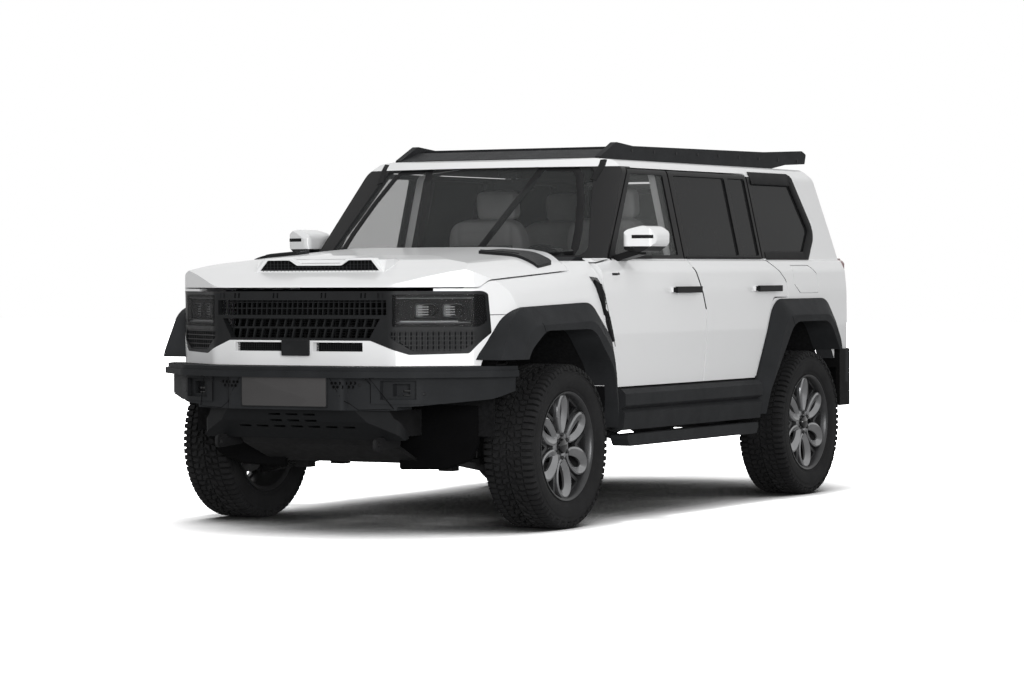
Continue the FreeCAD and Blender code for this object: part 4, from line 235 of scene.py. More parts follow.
def look(name, colour, roughness, tone, wear=None, relief=None, coat=None, zones=(), zone_colour=None, **values):
    """Material with changes of tone and roughness, relief (scale, detail, depth, strength), coat and zones.

    Relief without detail is made of cells, other relief of noise.
    """
    made = Finish(name, colour, roughness, **values).mottle(*tone)
    if wear:
        made.smudge(*wear)
    if relief:
        scale, detail, depth, strength = relief
        made.bump(made.noise(scale, detail) if detail else made.cells(scale), depth, strength)
    if coat:
        made.coat(*coat)
    for zone in zones:
        made.second_colour(zone_colour, made.mask(zone))
    return made.material


def glass(name, colour, alpha, specular, roughness=0.015):
    """Tinted pane that shows what is behind it."""
    return Finish(name, colour, roughness, specular=specular).set("Alpha", alpha).mottle(0.08, 1.5).material


WHITE = (0.80, 0.805, 0.81)
GLOSS_BLACK = (0.006, 0.006, 0.0065)
LINING = (0.035, 0.036, 0.038)
COAT_WEIGHT = 0.5


def white_paint(name, black_zones=(), lined=False, zone_colour=GLOSS_BLACK):
    """White gloss paint under clear coat, with zones in black and dark lining on the cabin side, both uncoated."""
    paint = Finish(name, WHITE, 0.38, specular=0.1)
    paint.mottle(0.012, 1.2).smudge(0.05, 6)
    paint.bump(paint.noise(220, 1.0), 0.0006, 0.03)
    masks = [paint.mask(tests) for tests in black_zones]
    for mask in masks:
        paint.second_colour(zone_colour, mask)
    if lined:
        masks.append(paint.inside())
        paint.second_colour(LINING, masks[-1])
    paint.coat(COAT_WEIGHT)
    if masks:
        bare = masks[0]
        for mask in masks[1:]:
            bare = paint.maths("MAXIMUM", bare, mask)
        paint.link(paint.span(bare, COAT_WEIGHT, 0.0), paint.shader.inputs["Coat Weight"])
    return paint.material


def grained(name, colour, roughness=0.6, grain=900, specular=0.08, **values):
    """Grained black plastic."""
    return look(name, colour, roughness, (0.14, 7), (0.08, 18), (grain, 0, 0.0004, 0.5), specular=specular, **values)


# Zones in another colour, each a list of limits (axis, side of the level, level)
HANDLE_ZONES = [[("Y", sign, sign * 0.9975), ("Z", 1, 1.128), ("Z", -1, 1.222)] for _, sign in SIDES]
SHELL_ZONES = [
    [("Z", 1, BELT_HEIGHT), ("Z", -1, 1.848), ("X", 1, fore(-1.16))],
    [("Z", 1, BELT_HEIGHT), ("Z", -1, 1.826), ("X", 1, fore(-2.64)), ("X", -1, fore(-1.9))],
    [("Z", -1, 0.70)]]
PAINT = white_paint("white_paint")
PAINT_SHELL = white_paint("white_paint_shell", SHELL_ZONES, lined=True)
PAINT_DOOR = white_paint("white_paint_doors", [[("Z", 1, 1.354)]] + HANDLE_ZONES, lined=True)
PAINT_GATE = white_paint("white_paint_gate", [[("Z", 1, 1.385), ("Z", -1, 1.79)]], lined=True)
PAINT_MIRROR = white_paint("white_paint_mirrors", [[("Z", -1, 1.418)]], zone_colour=(0.009, 0.009, 0.0095))
TRIM = grained("grained_trim", (0.021, 0.022, 0.0235))
TRIM_FRONT = grained("grained_trim_front", (0.0185, 0.0195, 0.021),
                     zones=[[("Z", -1, 0.617)]], zone_colour=(0.0095, 0.010, 0.0107))
# Rear bumper: its sides ahead of the back face are coloured near black, painted shade of the sides turned away from
# the lights; its low corners take the same near black.
REAR_TRIM_WITH_PAINTED_SHADE = grained("grained_trim_rear", (0.021, 0.022, 0.0235),
                    zones=[[("X", 1, -1.945)], [("Z", -1, 0.63), ("X", 1, -1.985)]],
                    zone_colour=(0.0035, 0.0035, 0.0036))
TRIM_FINE = grained("fine_trim", (0.0125, 0.013, 0.0138), 0.38, 1600, 0.12)
CABIN = grained("cabin_plastic", (0.02, 0.0205, 0.0215), 0.6, 1200)
GLOSS = look("gloss_black", GLOSS_BLACK, 0.12, (0.1, 5), (0.04, 12), coat=(0.3,), specular=0.35)
DEEP = look("deep_black", (0.0025, 0.0025, 0.0027), 0.8, (0.2, 9), (0.1, 20), specular=0.05)
RUBBER = look("tyre_rubber", (0.0105, 0.0105, 0.011), 0.78, (0.22, 9), (0.08, 30), (420, 4.0, 0.0006, 0.5),
              specular=0.18)
SEAL = look("seal_rubber", (0.006, 0.006, 0.0065), 0.6, (0.15, 12), (0.08, 20), specular=0.12)
ALLOY = look("satin_alloy", (0.235, 0.237, 0.242), 0.30, (0.08, 14), (0.06, 40), (1500, 2.0, 0.0002, 0.12),
             (0.3, 0.12), metallic=0.85)
ALLOY_DARK = look("dark_alloy", (0.018, 0.018, 0.019), 0.45, (0.15, 20), (0.08, 30), metallic=0.4, specular=0.3)
BARREL = look("rim_barrel_metal", (0.05, 0.0505, 0.052), 0.36, (0.12, 20), (0.06, 40), metallic=0.7)
STEEL = look("chassis_steel", (0.009, 0.009, 0.0095), 0.6, (0.3, 11), (0.12, 25), (350, 5.0, 0.0008, 0.4),
             specular=0.2)
CAST = look("cast_metal", (0.05, 0.05, 0.052), 0.55, (0.25, 16), (0.1, 30), (500, 0, 0.0006, 0.5),
            metallic=0.6, specular=0.3)
DISC = look("brake_disc_face", (0.10, 0.10, 0.102), 0.38, (0.1, 30), (0.08, 80), metallic=0.9)
CLEAR_GLASS = glass("windscreen_glass", (0.07, 0.073, 0.073), 0.26, 0.06)
DOOR_GLASS = glass("door_glass", (0.15, 0.156, 0.154), 0.28, 0.06)
DARK_GLASS = glass("privacy_glass", (0.020, 0.0205, 0.021), 0.975, 0.05, roughness=0.05)
LENS = glass("lamp_lens", (0.010, 0.0105, 0.011), 0.26, 0.04, roughness=0.08)
RED_LENS = look("red_lens", (0.12, 0.004, 0.006), 0.12, (0.15, 30), (0.03, 40), coat=(0.5,), specular=0.3)
LAMP_GREY = look("lamp_bar_grey", (0.10, 0.103, 0.107), 0.3, (0.06, 20), (0.05, 50), metallic=0.3)
LED = look("lamp_light_bar", (0.30, 0.31, 0.32), 0.3, (0.06, 60), (0.04, 60), coat=(0.5,))
LEATHER = look("seat_leather", (0.34, 0.342, 0.342), 0.55, (0.06, 8), (0.07, 20), (380, 0, 0.0005, 0.5),
               specular=0.3)
SCREEN = look("screen_face", (0.01, 0.011, 0.013), 0.12, (0.1, 6), (0.03, 10), coat=(0.6,))
CARPET = look("floor_covering", (0.010, 0.010, 0.0105), 0.95, (0.3, 60), relief=(900, 3.0, 0.002, 0.8),
              specular=0.05)
PLATE = look("blank_plate", (0.058, 0.056, 0.056), 0.6, (0.03, 9), (0.06, 14), specular=0.12)

for material, names in (
        (PAINT, "fascia front_wings bonnet"),
        (PAINT_SHELL, "body_shell"),
        (PAINT_DOOR, "front_door_left front_door_right rear_door_left rear_door_right"),
        (PAINT_GATE, "tailgate"),
        (PAINT_MIRROR, "mirror_left mirror_right"),
        (CLEAR_GLASS, "windscreen"),
        (DOOR_GLASS, "front_door_glass_left front_door_glass_right"),
        (DARK_GLASS, "rear_door_glass_left rear_door_glass_right quarter_glass tailgate_glass"),
        (TRIM, "spare_cover cowl_panel arch_flares side_cladding side_steps roof_rack"),
        (TRIM_FRONT, "front_bumper"),
        (REAR_TRIM_WITH_PAINTED_SHADE, "rear_bumper"),
        (TRIM_FINE, "bonnet_vents grille"),
        (GLOSS, "wing_vents"),
        (SEAL, "headlamp_housings"),
        (LENS, "headlamp_lenses"),
        (RED_LENS, "tail_lamps"),
        (STEEL, "floor_pan ladder_frame fuel_tank front_suspension rear_axle skid_plate tow_hooks"),
        (CAST, "engine_block driveline exhaust knuckle_left knuckle_right"),
        (CARPET, "arch_liners"),
        (CABIN, "dashboard seats"),
        (RUBBER, " ".join("tyre_" + wheel for wheel in WHEELS)),
        (ALLOY, " ".join("rim_" + wheel for wheel in WHEELS))):
    for name in names.split():
        NODES[name].data.materials.clear()
        NODES[name].data.materials.append(material)


# Shapes

SHARP_EDGE = math.radians(30)


def ride(name, mesh, body):
    """Piece of a mesh, riding on its body."""
    piece = bpy.data.objects.new(name, mesh)
    SCENE.collection.objects.link(piece)
    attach(piece, body)
    return piece


def polar(radius, level, angle):
    """Point at an angle round the Y axis."""
    return (radius * math.sin(angle), level, radius * math.cos(angle))


class Form:
    """Corners and faces gathered for one piece."""

    def __init__(self):
        self.corners = []
        self.faces = []

    def add(self, corners, faces):
        start = len(self.corners)
        self.corners += [Vector(corner) for corner in corners]
        self.faces += [[start + index for index in face] for face in faces]
        return self

    def loft(self, rings, caps=True, closed=False, round_rings=True):
        """Skin over rings of equal count, each going round the same way."""
        count = len(rings[0])
        corners = [corner for ring in rings for corner in ring]
        faces = []
        for row in range(len(rings) if closed else len(rings) - 1):
            low, high = row * count, ((row + 1) % len(rings)) * count
            for index in range(count if round_rings else count - 1):
                after = (index + 1) % count
                faces.append([low + index, low + after, high + after, high + index])
        if caps and not closed:
            faces.append(list(reversed(range(count))))
            faces.append([(len(rings) - 1) * count + index for index in range(count)])
        return self.add(corners, faces)

    def block(self, low, high):
        """Square block between two corners."""
        ring = [(low[0], low[1]), (high[0], low[1]), (high[0], high[1]), (low[0], high[1])]
        return self.loft([[(x, y, z) for x, y in ring] for z in (low[2], high[2])])

    def prism(self, outline, low, high):
        """Solid of an outline in the XZ plane between two levels of Y."""
        return self.loft([[(a, level, b) for a, b in outline] for level in (low, high)])

    def tube(self, path, radius, sides=8):
        """Round bar along a path."""
        path = [Vector(point) for point in path]
        rings = []
        upright = None
        for index, point in enumerate(path):
            line = (path[min(index + 1, len(path) - 1)] - path[max(index - 1, 0)]).normalized()
            if upright is None:
                upright = UP if abs(line.z) < 0.9 else Vector((1, 0, 0))
            across = line.cross(upright).normalized()
            upright = across.cross(line).normalized()
            rings.append([point + (across * math.cos(a) + upright * math.sin(a)) * radius
                          for a in (2 * math.pi * step / sides for step in range(sides))])
        return self.loft(rings)

    def lathe(self, profile, steps, round_rings=True):
        """Ring about the Y axis from (radius, level) points."""
        rings = [[polar(radius, level, 2 * math.pi * step / steps) for radius, level in profile]
                 for step in range(steps)]
        return self.loft(rings, caps=False, closed=True, round_rings=round_rings)

    def moved(self, matrix):
        self.corners = [matrix @ corner for corner in self.corners]
        return self

    def mesh(self, name, bevel=0.0, segments=2, angle=38, weld=True, profile=0.6):
        """Mesh of the form with its edges rounded."""
        mesh = bpy.data.meshes.new(name)
        mesh.from_pydata([tuple(corner) for corner in self.corners], [], self.faces)
        shape = bmesh.new()
        shape.from_mesh(mesh)
        if weld:
            bmesh.ops.remove_doubles(shape, verts=shape.verts, dist=1e-6)
        bmesh.ops.recalc_face_normals(shape, faces=shape.faces)
        if bevel:
            sharp = [edge for edge in shape.edges if edge.is_manifold and edge.calc_face_angle(0) > SHARP_EDGE]
            bmesh.ops.bevel(shape, geom=sharp, offset=bevel, segments=segments, affect="EDGES", profile=profile,
                            clamp_overlap=True)
        shape.to_mesh(mesh)
        shape.free()
        mesh.shade_smooth()
        mesh.set_sharp_from_angle(angle=math.radians(angle))
        return mesh

    def place(self, name, material, body, **values):
        """Makes the piece's mesh and lets it ride on its body."""
        mesh = self.mesh(name, **values)
        mesh.materials.append(material)
        return ride(name, mesh, body)


class Skin:
    """Surface of CAD nodes, to lay trim on."""

    def __init__(self, *names):
        corners, faces = [], []
        for name in names:
            mesh = NODES[name].data
            start = len(corners)
            corners += [vertex.co.copy() for vertex in mesh.vertices]
            faces += [[start + index for index in face.vertices] for face in mesh.polygons]
        self.tree = BVHTree.FromPolygons(corners, faces)

    def hit(self, point, direction):
        """Place and outward normal of the surface met from a point, or else of the surface nearest to it."""
        direction = Vector(direction)
        place, normal, _, _ = self.tree.ray_cast(Vector(point), direction)
        if place is None:
            place, normal, _, _ = self.tree.find_nearest(Vector(point))
        if normal.dot(direction) > 0:
            normal = -normal
        return place, normal

    def line(self, points, direction, step):
        """Points laid on the surface along a path, with their normals."""
        laid = []
        points = [Vector(point) for point in points]
        for start, end in zip(points, points[1:]):
            count = max(1, int((end - start).length / step))
            laid += [self.hit(start.lerp(end, index / count), direction) for index in range(count)]
        laid.append(self.hit(points[-1], direction))
        return laid


def ribbon(form, laid, width, stand, sink=0.001, closed=False):
    """Flat strip along points that lie on a surface."""
    rings = []
    count = len(laid)
    for index, (point, normal) in enumerate(laid):
        before = laid[index - 1][0] if index or closed else laid[0][0]
        after = laid[(index + 1) % count][0] if index + 1 < count or closed else laid[-1][0]
        across = (after - before).normalized().cross(normal).normalized() * (width / 2)
        rings.append([point - across - normal * sink, point + across - normal * sink,
                      point + across * 0.8 + normal * stand, point - across * 0.8 + normal * stand])
    return form.loft(rings, closed=closed)


def surface_line(name, node, points, direction, width, material, body, stand=0.0006, step=0.025):
    """Thin strip that lies on CAD surfaces along a path."""
    skin = Skin(*node.split())
    form = ribbon(Form(), skin.line(points, direction, step), width, stand, sink=0.0015)
    return form.place(name, material, body, weld=False)


def rounded(outline, radius, steps=4):
    """Outline with its corners rounded."""
    points = [Vector(point) for point in outline]
    made = []
    for index, corner in enumerate(points):
        before = points[index - 1] - corner
        after = points[(index + 1) % len(points)] - corner
        reach = min(radius, before.length * 0.45, after.length * 0.45)
        start, end = corner + before.normalized() * reach, corner + after.normalized() * reach
        for step in range(steps + 1):
            share = step / steps
            made.append(tuple(start * (1 - share) ** 2 + corner * 2 * share * (1 - share) + end * share ** 2))
    return made


def rounded_box(low, high, radius, steps=4):
    """Rectangle between two corners, with its own corners rounded."""
    return rounded([low, (high[0], low[1]), high, (low[0], high[1])], radius, steps)


def section(centre, across, up, outline):
    """Ring of an outline laid out along two directions about a point."""
    return [centre + across * a + up * b for a, b in outline]


def tapered(low, high, wide, narrow):
    """Outline of a strip that is wide at its low level and narrow at its high one."""
    return ((low, -wide), (high, -narrow), (high, narrow), (low, wide))


def hexagon(turn=0.0):
    """Corners of a hexagon of radius one."""
    return [(math.cos(angle), math.sin(angle)) for angle in (math.pi * k / 3 + turn for k in range(6))]


def crosswise(x, outline, wide=1.0, tall=1.0, middle=0.0):
    """Ring of an outline across the vehicle, drawn in towards the centre line and towards a height."""
    return [(x, a * wide, middle + (b - middle) * tall) for a, b in outline]


# Repeating pieces by Geometry Nodes

def repeat_tree(name, around):
    """Node tree that repeats a shape, turned about Y or set along a line."""
    tree = bpy.data.node_groups.new(name, "GeometryNodeTree")
    link = tree.links.new
    for socket, kind in (("Geometry", "Geometry"), ("Count", "Int"), ("Step", "Vector"), ("Material", "Material")):
        tree.interface.new_socket(socket, in_out="INPUT", socket_type="NodeSocket" + kind)
    tree.interface.new_socket("Geometry", in_out="OUTPUT", socket_type="NodeSocketGeometry")
    start, end, points, copies, real, dress = (tree.nodes.new(kind) for kind in (
        "NodeGroupInput", "NodeGroupOutput", "GeometryNodeMeshLine", "GeometryNodeInstanceOnPoints",
        "GeometryNodeRealizeInstances", "GeometryNodeSetMaterial"))
    link(start.outputs["Count"], points.inputs["Count"])
    points.inputs["Offset"].default_value = (0, 0, 0)
    if around:
        scaled = tree.nodes.new("ShaderNodeVectorMath")
        scaled.operation = "SCALE"
        turn = tree.nodes.new("FunctionNodeEulerToRotation")
        link(start.outputs["Step"], scaled.inputs[0])
        link(tree.nodes.new("GeometryNodeInputIndex").outputs[0], scaled.inputs["Scale"])
        link(scaled.outputs[0], turn.inputs[0])
        link(turn.outputs[0], copies.inputs["Rotation"])
    else:
        link(start.outputs["Step"], points.inputs["Offset"])
    link(points.outputs["Mesh"], copies.inputs["Points"])
    link(start.outputs["Geometry"], copies.inputs["Instance"])
    link(copies.outputs["Instances"], real.inputs["Geometry"])
    link(real.outputs["Geometry"], dress.inputs["Geometry"])
    link(start.outputs["Material"], dress.inputs["Material"])
    link(dress.outputs["Geometry"], end.inputs["Geometry"])
    return tree


TURNED = repeat_tree("repeat_round_axle", True)
IN_ROW = repeat_tree("repeat_in_row", False)


def repeated(form, tree, count, step, material, bevel=0.0):
    """Mesh of a shape that the node tree repeats."""
    mesh = form.mesh("repeat_source", bevel=bevel, segments=1, weld=False, profile=0.5)
    source = bpy.data.objects.new("repeat_source", mesh)
    SCENE.collection.objects.link(source)
    modifier = source.modifiers.new("repeat", "NODES")
    modifier.node_group = tree
    sockets = {item.name: item.identifier for item in tree.interface.items_tree if item.in_out == "INPUT"}
    modifier[sockets["Count"]] = count
    modifier[sockets["Step"]] = step
    modifier[sockets["Material"]] = material
    graph = bpy.context.evaluated_depsgraph_get()
    result = bpy.data.meshes.new_from_object(source.evaluated_get(graph))
    bpy.data.objects.remove(source)
    result.shade_smooth()
    result.set_sharp_from_angle(angle=math.radians(38))
    return result


def seat_mesh(mesh, name, body, matrix=None):
    """Puts a copy of a finished mesh in the frame and lets it ride on its body."""
    mesh = mesh.copy()
    mesh.name = name
    if matrix is not None:
        mesh.transform(matrix)
        if matrix.is_negative:
            mesh.flip_normals()
    return ride(name, mesh, body)


# Wheels

PITCH_COUNT = 38
PITCH = 2 * math.pi / PITCH_COUNT
TREAD_BASE = 0.3965
TREAD_TOP = 0.4125
TREAD_DRAFT = 0.94


def tread_block(form, outline):
    """One rubber block on the tread, its outline in shares of a pitch and metres across."""
    middle_u, middle_v = (sum(values) / len(outline) for values in zip(*outline))
    form.loft([[polar(radius, middle_v + (v - middle_v) * share, (middle_u + (u - middle_u) * share) * PITCH)
                for u, v in outline] for radius, share in (
        (TREAD_BASE, 1.0), (TREAD_TOP - 0.002, TREAD_DRAFT), (TREAD_TOP, TREAD_DRAFT * 0.93))])


def shoulder_lug(form, u_low, u_high, side, reach):
    """Lug that wraps from the tread over the shoulder and down the side wall."""
    outer = [(TREAD_TOP, 0.084), (TREAD_TOP - 0.001, 0.114), (0.4045, 0.1310), (reach + 0.006, 0.1392),
             (reach, 0.1380)]
    inner = [(0.394, 0.084), (0.391, 0.108), (0.383, 0.120), (reach, 0.128), (reach - 0.002, 0.128)]
    form.loft([[polar(radius, side * level, u * PITCH) for u, (radius, level) in (
        (u_low, low), (u_high, low), (u_high - 0.05, top), (u_low + 0.05, top))] for top, low in zip(outer, inner)])


def tyre_meshes():
    """Carcass and tread of an all-terrain tyre about its own centre."""
    half = [(0.2762, 0.116), (0.283, 0.1215), (0.292, 0.1235), (0.296, 0.1275), (0.306, 0.131), (0.322, 0.1345),
            (0.340, 0.1362), (0.355, 0.1358), (0.357, 0.1342), (0.369, 0.1335), (0.371, 0.1350), (0.378, 0.1338),
            (0.386, 0.1245), (0.3915, 0.1130), (0.3965, 0.096), (0.3985, 0.05)]
    profile = [(0.262, 0.110)] + half + [(radius, -level) for radius, level in reversed(half)] + [(0.262, -0.110)]
    carcass = Form().lathe(profile, 120)
    lugs = Form()
    for side, shift in ((-1, 0.5), (1, 0.0)):
        for outline in (
                ((0.04, 0.004), (0.40, 0.004), (0.46, 0.020), (0.66, 0.026), (0.60, 0.040), (0.22, 0.036),
                 (0.16, 0.020)),
                ((0.50, 0.003), (0.92, 0.006), (0.86, 0.018), (0.62, 0.016)),
                ((0.14, 0.044), (0.56, 0.048), (0.64, 0.062), (0.56, 0.078), (0.30, 0.076), (0.22, 0.060)),
                ((0.72, 0.034), (1.02, 0.040), (1.08, 0.056), (0.98, 0.078), (0.74, 0.074), (0.78, 0.054))):
            tread_block(lugs, [(shift + a, side * b) for a, b in outline])
        shoulder_lug(lugs, shift + 0.06, shift + 0.48, side, 0.376)
        shoulder_lug(lugs, shift + 0.58, shift + 0.98, side, 0.386)
    return carcass, repeated(lugs, TURNED, PITCH_COUNT, (0, PITCH, 0), RUBBER)


def petal(form, turn):
    """Looped spoke: a band bent round a hole, its inner edge sunk and one side raised."""
    steps, middle, reach = 44, 0.1595, 0.0835
    rings = []
    for step in range(steps):
        angle = 2 * math.pi * step / steps
        sine, cosine = math.sin(angle), math.cos(angle)
        along = middle - reach * cosine
        swell = 0.5 - 0.5 * cosine
        spread = 0.031 + 0.020 * swell
        wide = spread * sine + 0.006 * swell
        ahead = Vector((reach * sine, spread * cosine + 0.01 * sine ** 2)).normalized()
        out = Vector((-ahead.y, ahead.x))
        if out.dot(Vector((along - middle, wide))) < 0:
            out = -out
        rise = 0.007 * sine + 0.012 * swell - 0.004
        band = 0.0175 + 0.0075 * max(0.0, sine) + 0.003 * swell
        tilt = 0.004 + 0.007 * swell
        rings.append([(wide + out.y * across, 0.098 + rise + level, along + out.x * across) for across, level in (
            (band * 0.90, -0.004), (band, -0.011), (band * 0.85, -0.030), (-band * 0.5, -0.034), (-band, -0.030),
            (-band * 0.98, -0.010 - tilt), (-band * 0.4, -0.004 - tilt * 0.5), (band * 0.5, 0.0))])
    part = Form().loft(rings, caps=False, closed=True).moved(Matrix.Rotation(turn, 4, "Y"))
    form.add(part.corners, part.faces)


def rim_forms():
    """Alloy rim about its own centre: stepped barrel with webs, and six looped spokes on a hub."""
    barrel, spokes = Form(), Form()
    barrel.lathe([(0.2740, 0.1222), (0.2715, 0.1225), (0.2655, 0.1200), (0.2600, 0.1130), (0.2560, 0.1000),
                  (0.2520, 0.0860), (0.2470, 0.0640), (0.2430, 0.0200), (0.2430, -0.1000), (0.2520, -0.1150),
                  (0.2740, -0.1225), (0.2740, -0.1150), (0.2590, -0.1100), (0.2480, -0.0950), (0.2470, 0.0500),
                  (0.2590, 0.1050), (0.2740, 0.1150)], 96)
    for index in range(6):
        turn = 2 * math.pi * index / 6
        petal(spokes, turn)
        web = Form()
        for sign in (-1, 1):
            web.prism([(sign * a, b) for a, b in (
                (0.066, 0.2460), (0.046, 0.2490), (0.020, 0.2020), (0.0, 0.1680), (0.0, 0.1480), (0.010, 0.1500))],
                0.064, 0.084)
        web.prism([(-0.050, 0.2490), (0.050, 0.2490), (0.042, 0.2370), (-0.042, 0.2370)], 0.068, 0.088)
        web.moved(Matrix.Rotation(turn + math.pi / 6, 4, "Y"))
        barrel.add(web.corners, web.faces)
    spokes.lathe([(0.066, 0.088), (0.078, 0.080), (0.080, 0.060), (0.078, 0.045), (0.040, 0.045), (0.040, 0.080),
                  (0.050, 0.088)], 48)
    return barrel, spokes


def hub_forms():
    """Black cap and one wheel nut, about the rim's own centre."""
    cap = Form().lathe([(0.0, 0.105), (0.026, 0.105), (0.033, 0.102), (0.037, 0.094), (0.039, 0.080),
                        (0.039, 0.060), (0.0, 0.060)], 36, round_rings=False)
    nut = Form().prism([(0.0115 * a, 0.058 + 0.0115 * b) for a, b in hexagon()], 0.070, 0.096)
    return cap, nut


def brake_forms():
    """Brake disc with its caliper, behind the spokes."""
    disc = Form().lathe([(0.085, 0.012), (0.175, 0.012), (0.176, 0.009), (0.176, -0.012), (0.175, -0.015),
                         (0.085, -0.015)], 72)
    caliper = Form().loft([[polar(radius, level, math.radians(62 + step * 7)) for radius, level in (
        (0.118, 0.034), (0.186, 0.030), (0.192, 0.010), (0.192, -0.036), (0.118, -0.040))] for step in range(9)])
    return disc, caliper


def make_wheels():
    """Tyres, rims, caps, nuts and brakes for the four corners."""
    carcass, tread = tyre_meshes()
    barrel, rim = rim_forms()
    cap, nut = hub_forms()
    nuts = repeated(nut, TURNED, 6, (0, math.pi / 3, 0), ALLOY_DARK, bevel=0.0012)
    masters = {}
    for key, form, material in (
            ("carcass", carcass, RUBBER), ("rim", rim, ALLOY), ("barrel", barrel, BARREL), ("cap", cap, GLOSS)):
        masters[key] = form.mesh(key + "_master", angle=32)
        masters[key].materials.append(material)
    for wheel, (x, sign) in WHEELS.items():
        body = "wheel_" + wheel
        seat = Matrix.Translation((x, sign * HALF_TRACK, WHEEL_RADIUS)) @ Matrix.Diagonal((1, sign, 1, 1))
        tyre = seat_mesh(masters["carcass"], "tyre_carcass_" + wheel, body, seat)
        seat_mesh(tread, "tyre_tread_" + wheel, body, seat)
        alloy = seat_mesh(masters["rim"], "alloy_rim_" + wheel, body, seat)
        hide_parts("tyre_" + wheel)
        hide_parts("rim_" + wheel)
        seat_mesh(masters["barrel"], "rim_barrel_" + wheel, body, seat)
        seat_mesh(masters["cap"], "hub_cap_" + wheel, body, seat)
        seat_mesh(nuts, "wheel_nuts_" + wheel, body, seat)
        disc, caliper = brake_forms()
        disc.moved(seat).place("brake_disc_" + wheel, DISC, body, angle=30)
        holder = {"front_left": "steer_left", "front_right": "steer_right"}.get(wheel, "root")
        caliper.moved(seat).place("brake_caliper_" + wheel, CAST, holder, bevel=0.003)


make_wheels()


# Front

def bolt_head(form, place, normal, radius, height):
    """Round-topped hexagon head that stands on a surface."""
    normal = normal.normalized()
    side = normal.cross(UP)
    if side.length < 0.1:
        side = normal.cross(Vector((0, 1, 0)))
    side.normalize()
    up = normal.cross(side).normalized()
    form.loft([section(place + normal * level, side * radius * share, up * radius * share, hexagon())
               for share, level in ((1.0, -0.002), (1.0, height * 0.6), (0.8, height), (0.35, height * 0.8))])


def make_radiator():
    """Dark core with fins and tubes that shows through the grille openings."""
    back = Form()
    back.block((fore(0.640), -0.53, 0.835), (fore(0.655), 0.53, 1.205))
    back.block((fore(0.655), -0.53, 1.192), (fore(0.745), 0.53, 1.2))
    back.place("radiator_core", DEEP, "root", bevel=0.002)
    fin = Form().block((fore(0.655), -0.50, 0.85), (fore(0.672), 0.50, 0.8535))
    seat_mesh(repeated(fin, IN_ROW, 28, (0, 0, 0.0125), STEEL), "radiator_fins", "root")
    tube = Form().block((fore(0.656), -0.498, 0.85), (fore(0.668), -0.494, 1.19))
    seat_mesh(repeated(tube, IN_ROW, 34, (0, 0.030, 0), STEEL), "radiator_tubes", "root")


def make_slot_mesh():
    """Square wire mesh in the two slots of the nose panel."""
    skin = Skin("fascia")
    low, high, count = 0.902, 0.95, 22
    for side, sign in SIDES:
        face = skin.hit((NEAR_AHEAD, sign * 0.40, 0.925), TO_REAR)[0].x - 0.022
        near, far = sorted((sign * 0.086, sign * 0.378))
        backing, wires = Form(), Form()
        backing.block((face - 0.020, near, low), (face - 0.017, far, high))
        backing.place("slot_backing_" + side, DEEP, "root")
        for index in range(count):
            y = sign * (0.092 + 0.28 * index / (count - 1))
            wires.block((face - 0.003, y - 0.0014, low), (face, y + 0.0014, high))
        for index in range(4):
            z = 0.909 + index * 0.0115
            wires.block((face - 0.0045, near, z), (face - 0.0015, far, z + 0.0025))
        wires.place("slot_wires_" + side, TRIM_FINE, "root", weld=False)


def make_badge_block():
    """Bare raised block between the slots, with a plain bevelled face."""
    face = Skin("fascia").hit((NEAR_AHEAD, 0, 0.912), TO_REAR)[0].x
    outline = rounded_box((-0.080, 0.880), (0.080, 0.960), 0.008)
    inner = rounded_box((-0.070, 0.888), (0.070, 0.952), 0.006)
    form = Form().loft([crosswise(face - 0.004, outline), crosswise(face + 0.007, outline),
                        crosswise(face + 0.010, outline, 0.975, 0.95, 0.92), crosswise(face + 0.0085, inner)])
    form.place("nose_block", TRIM_FINE, "root", bevel=0.0008, segments=1)


def make_plate():
    """Bare dark plate with its frame."""
    front, middle = fore(1.022), 0.7105
    outline = rounded_box((-0.250, 0.631), (0.250, 0.790), 0.012)
    inner = rounded_box((-0.244, 0.637), (0.244, 0.784), 0.009)
    border = Form().loft([crosswise(front - 0.012, outline), crosswise(front + 0.001, outline),
                          crosswise(front + 0.003, outline, 0.994, 0.985, middle)])
    border.place("plate_frame", TRIM_FINE, "root", bevel=0.0006, segments=1)
    face = Form().loft([crosswise(front + 0.002, inner), crosswise(front + 0.0048, inner),
                        crosswise(front + 0.0056, inner, 0.993, 0.98, middle)])
    face.place("blank_plate_face", PLATE, "root", bevel=0.0005, segments=1)


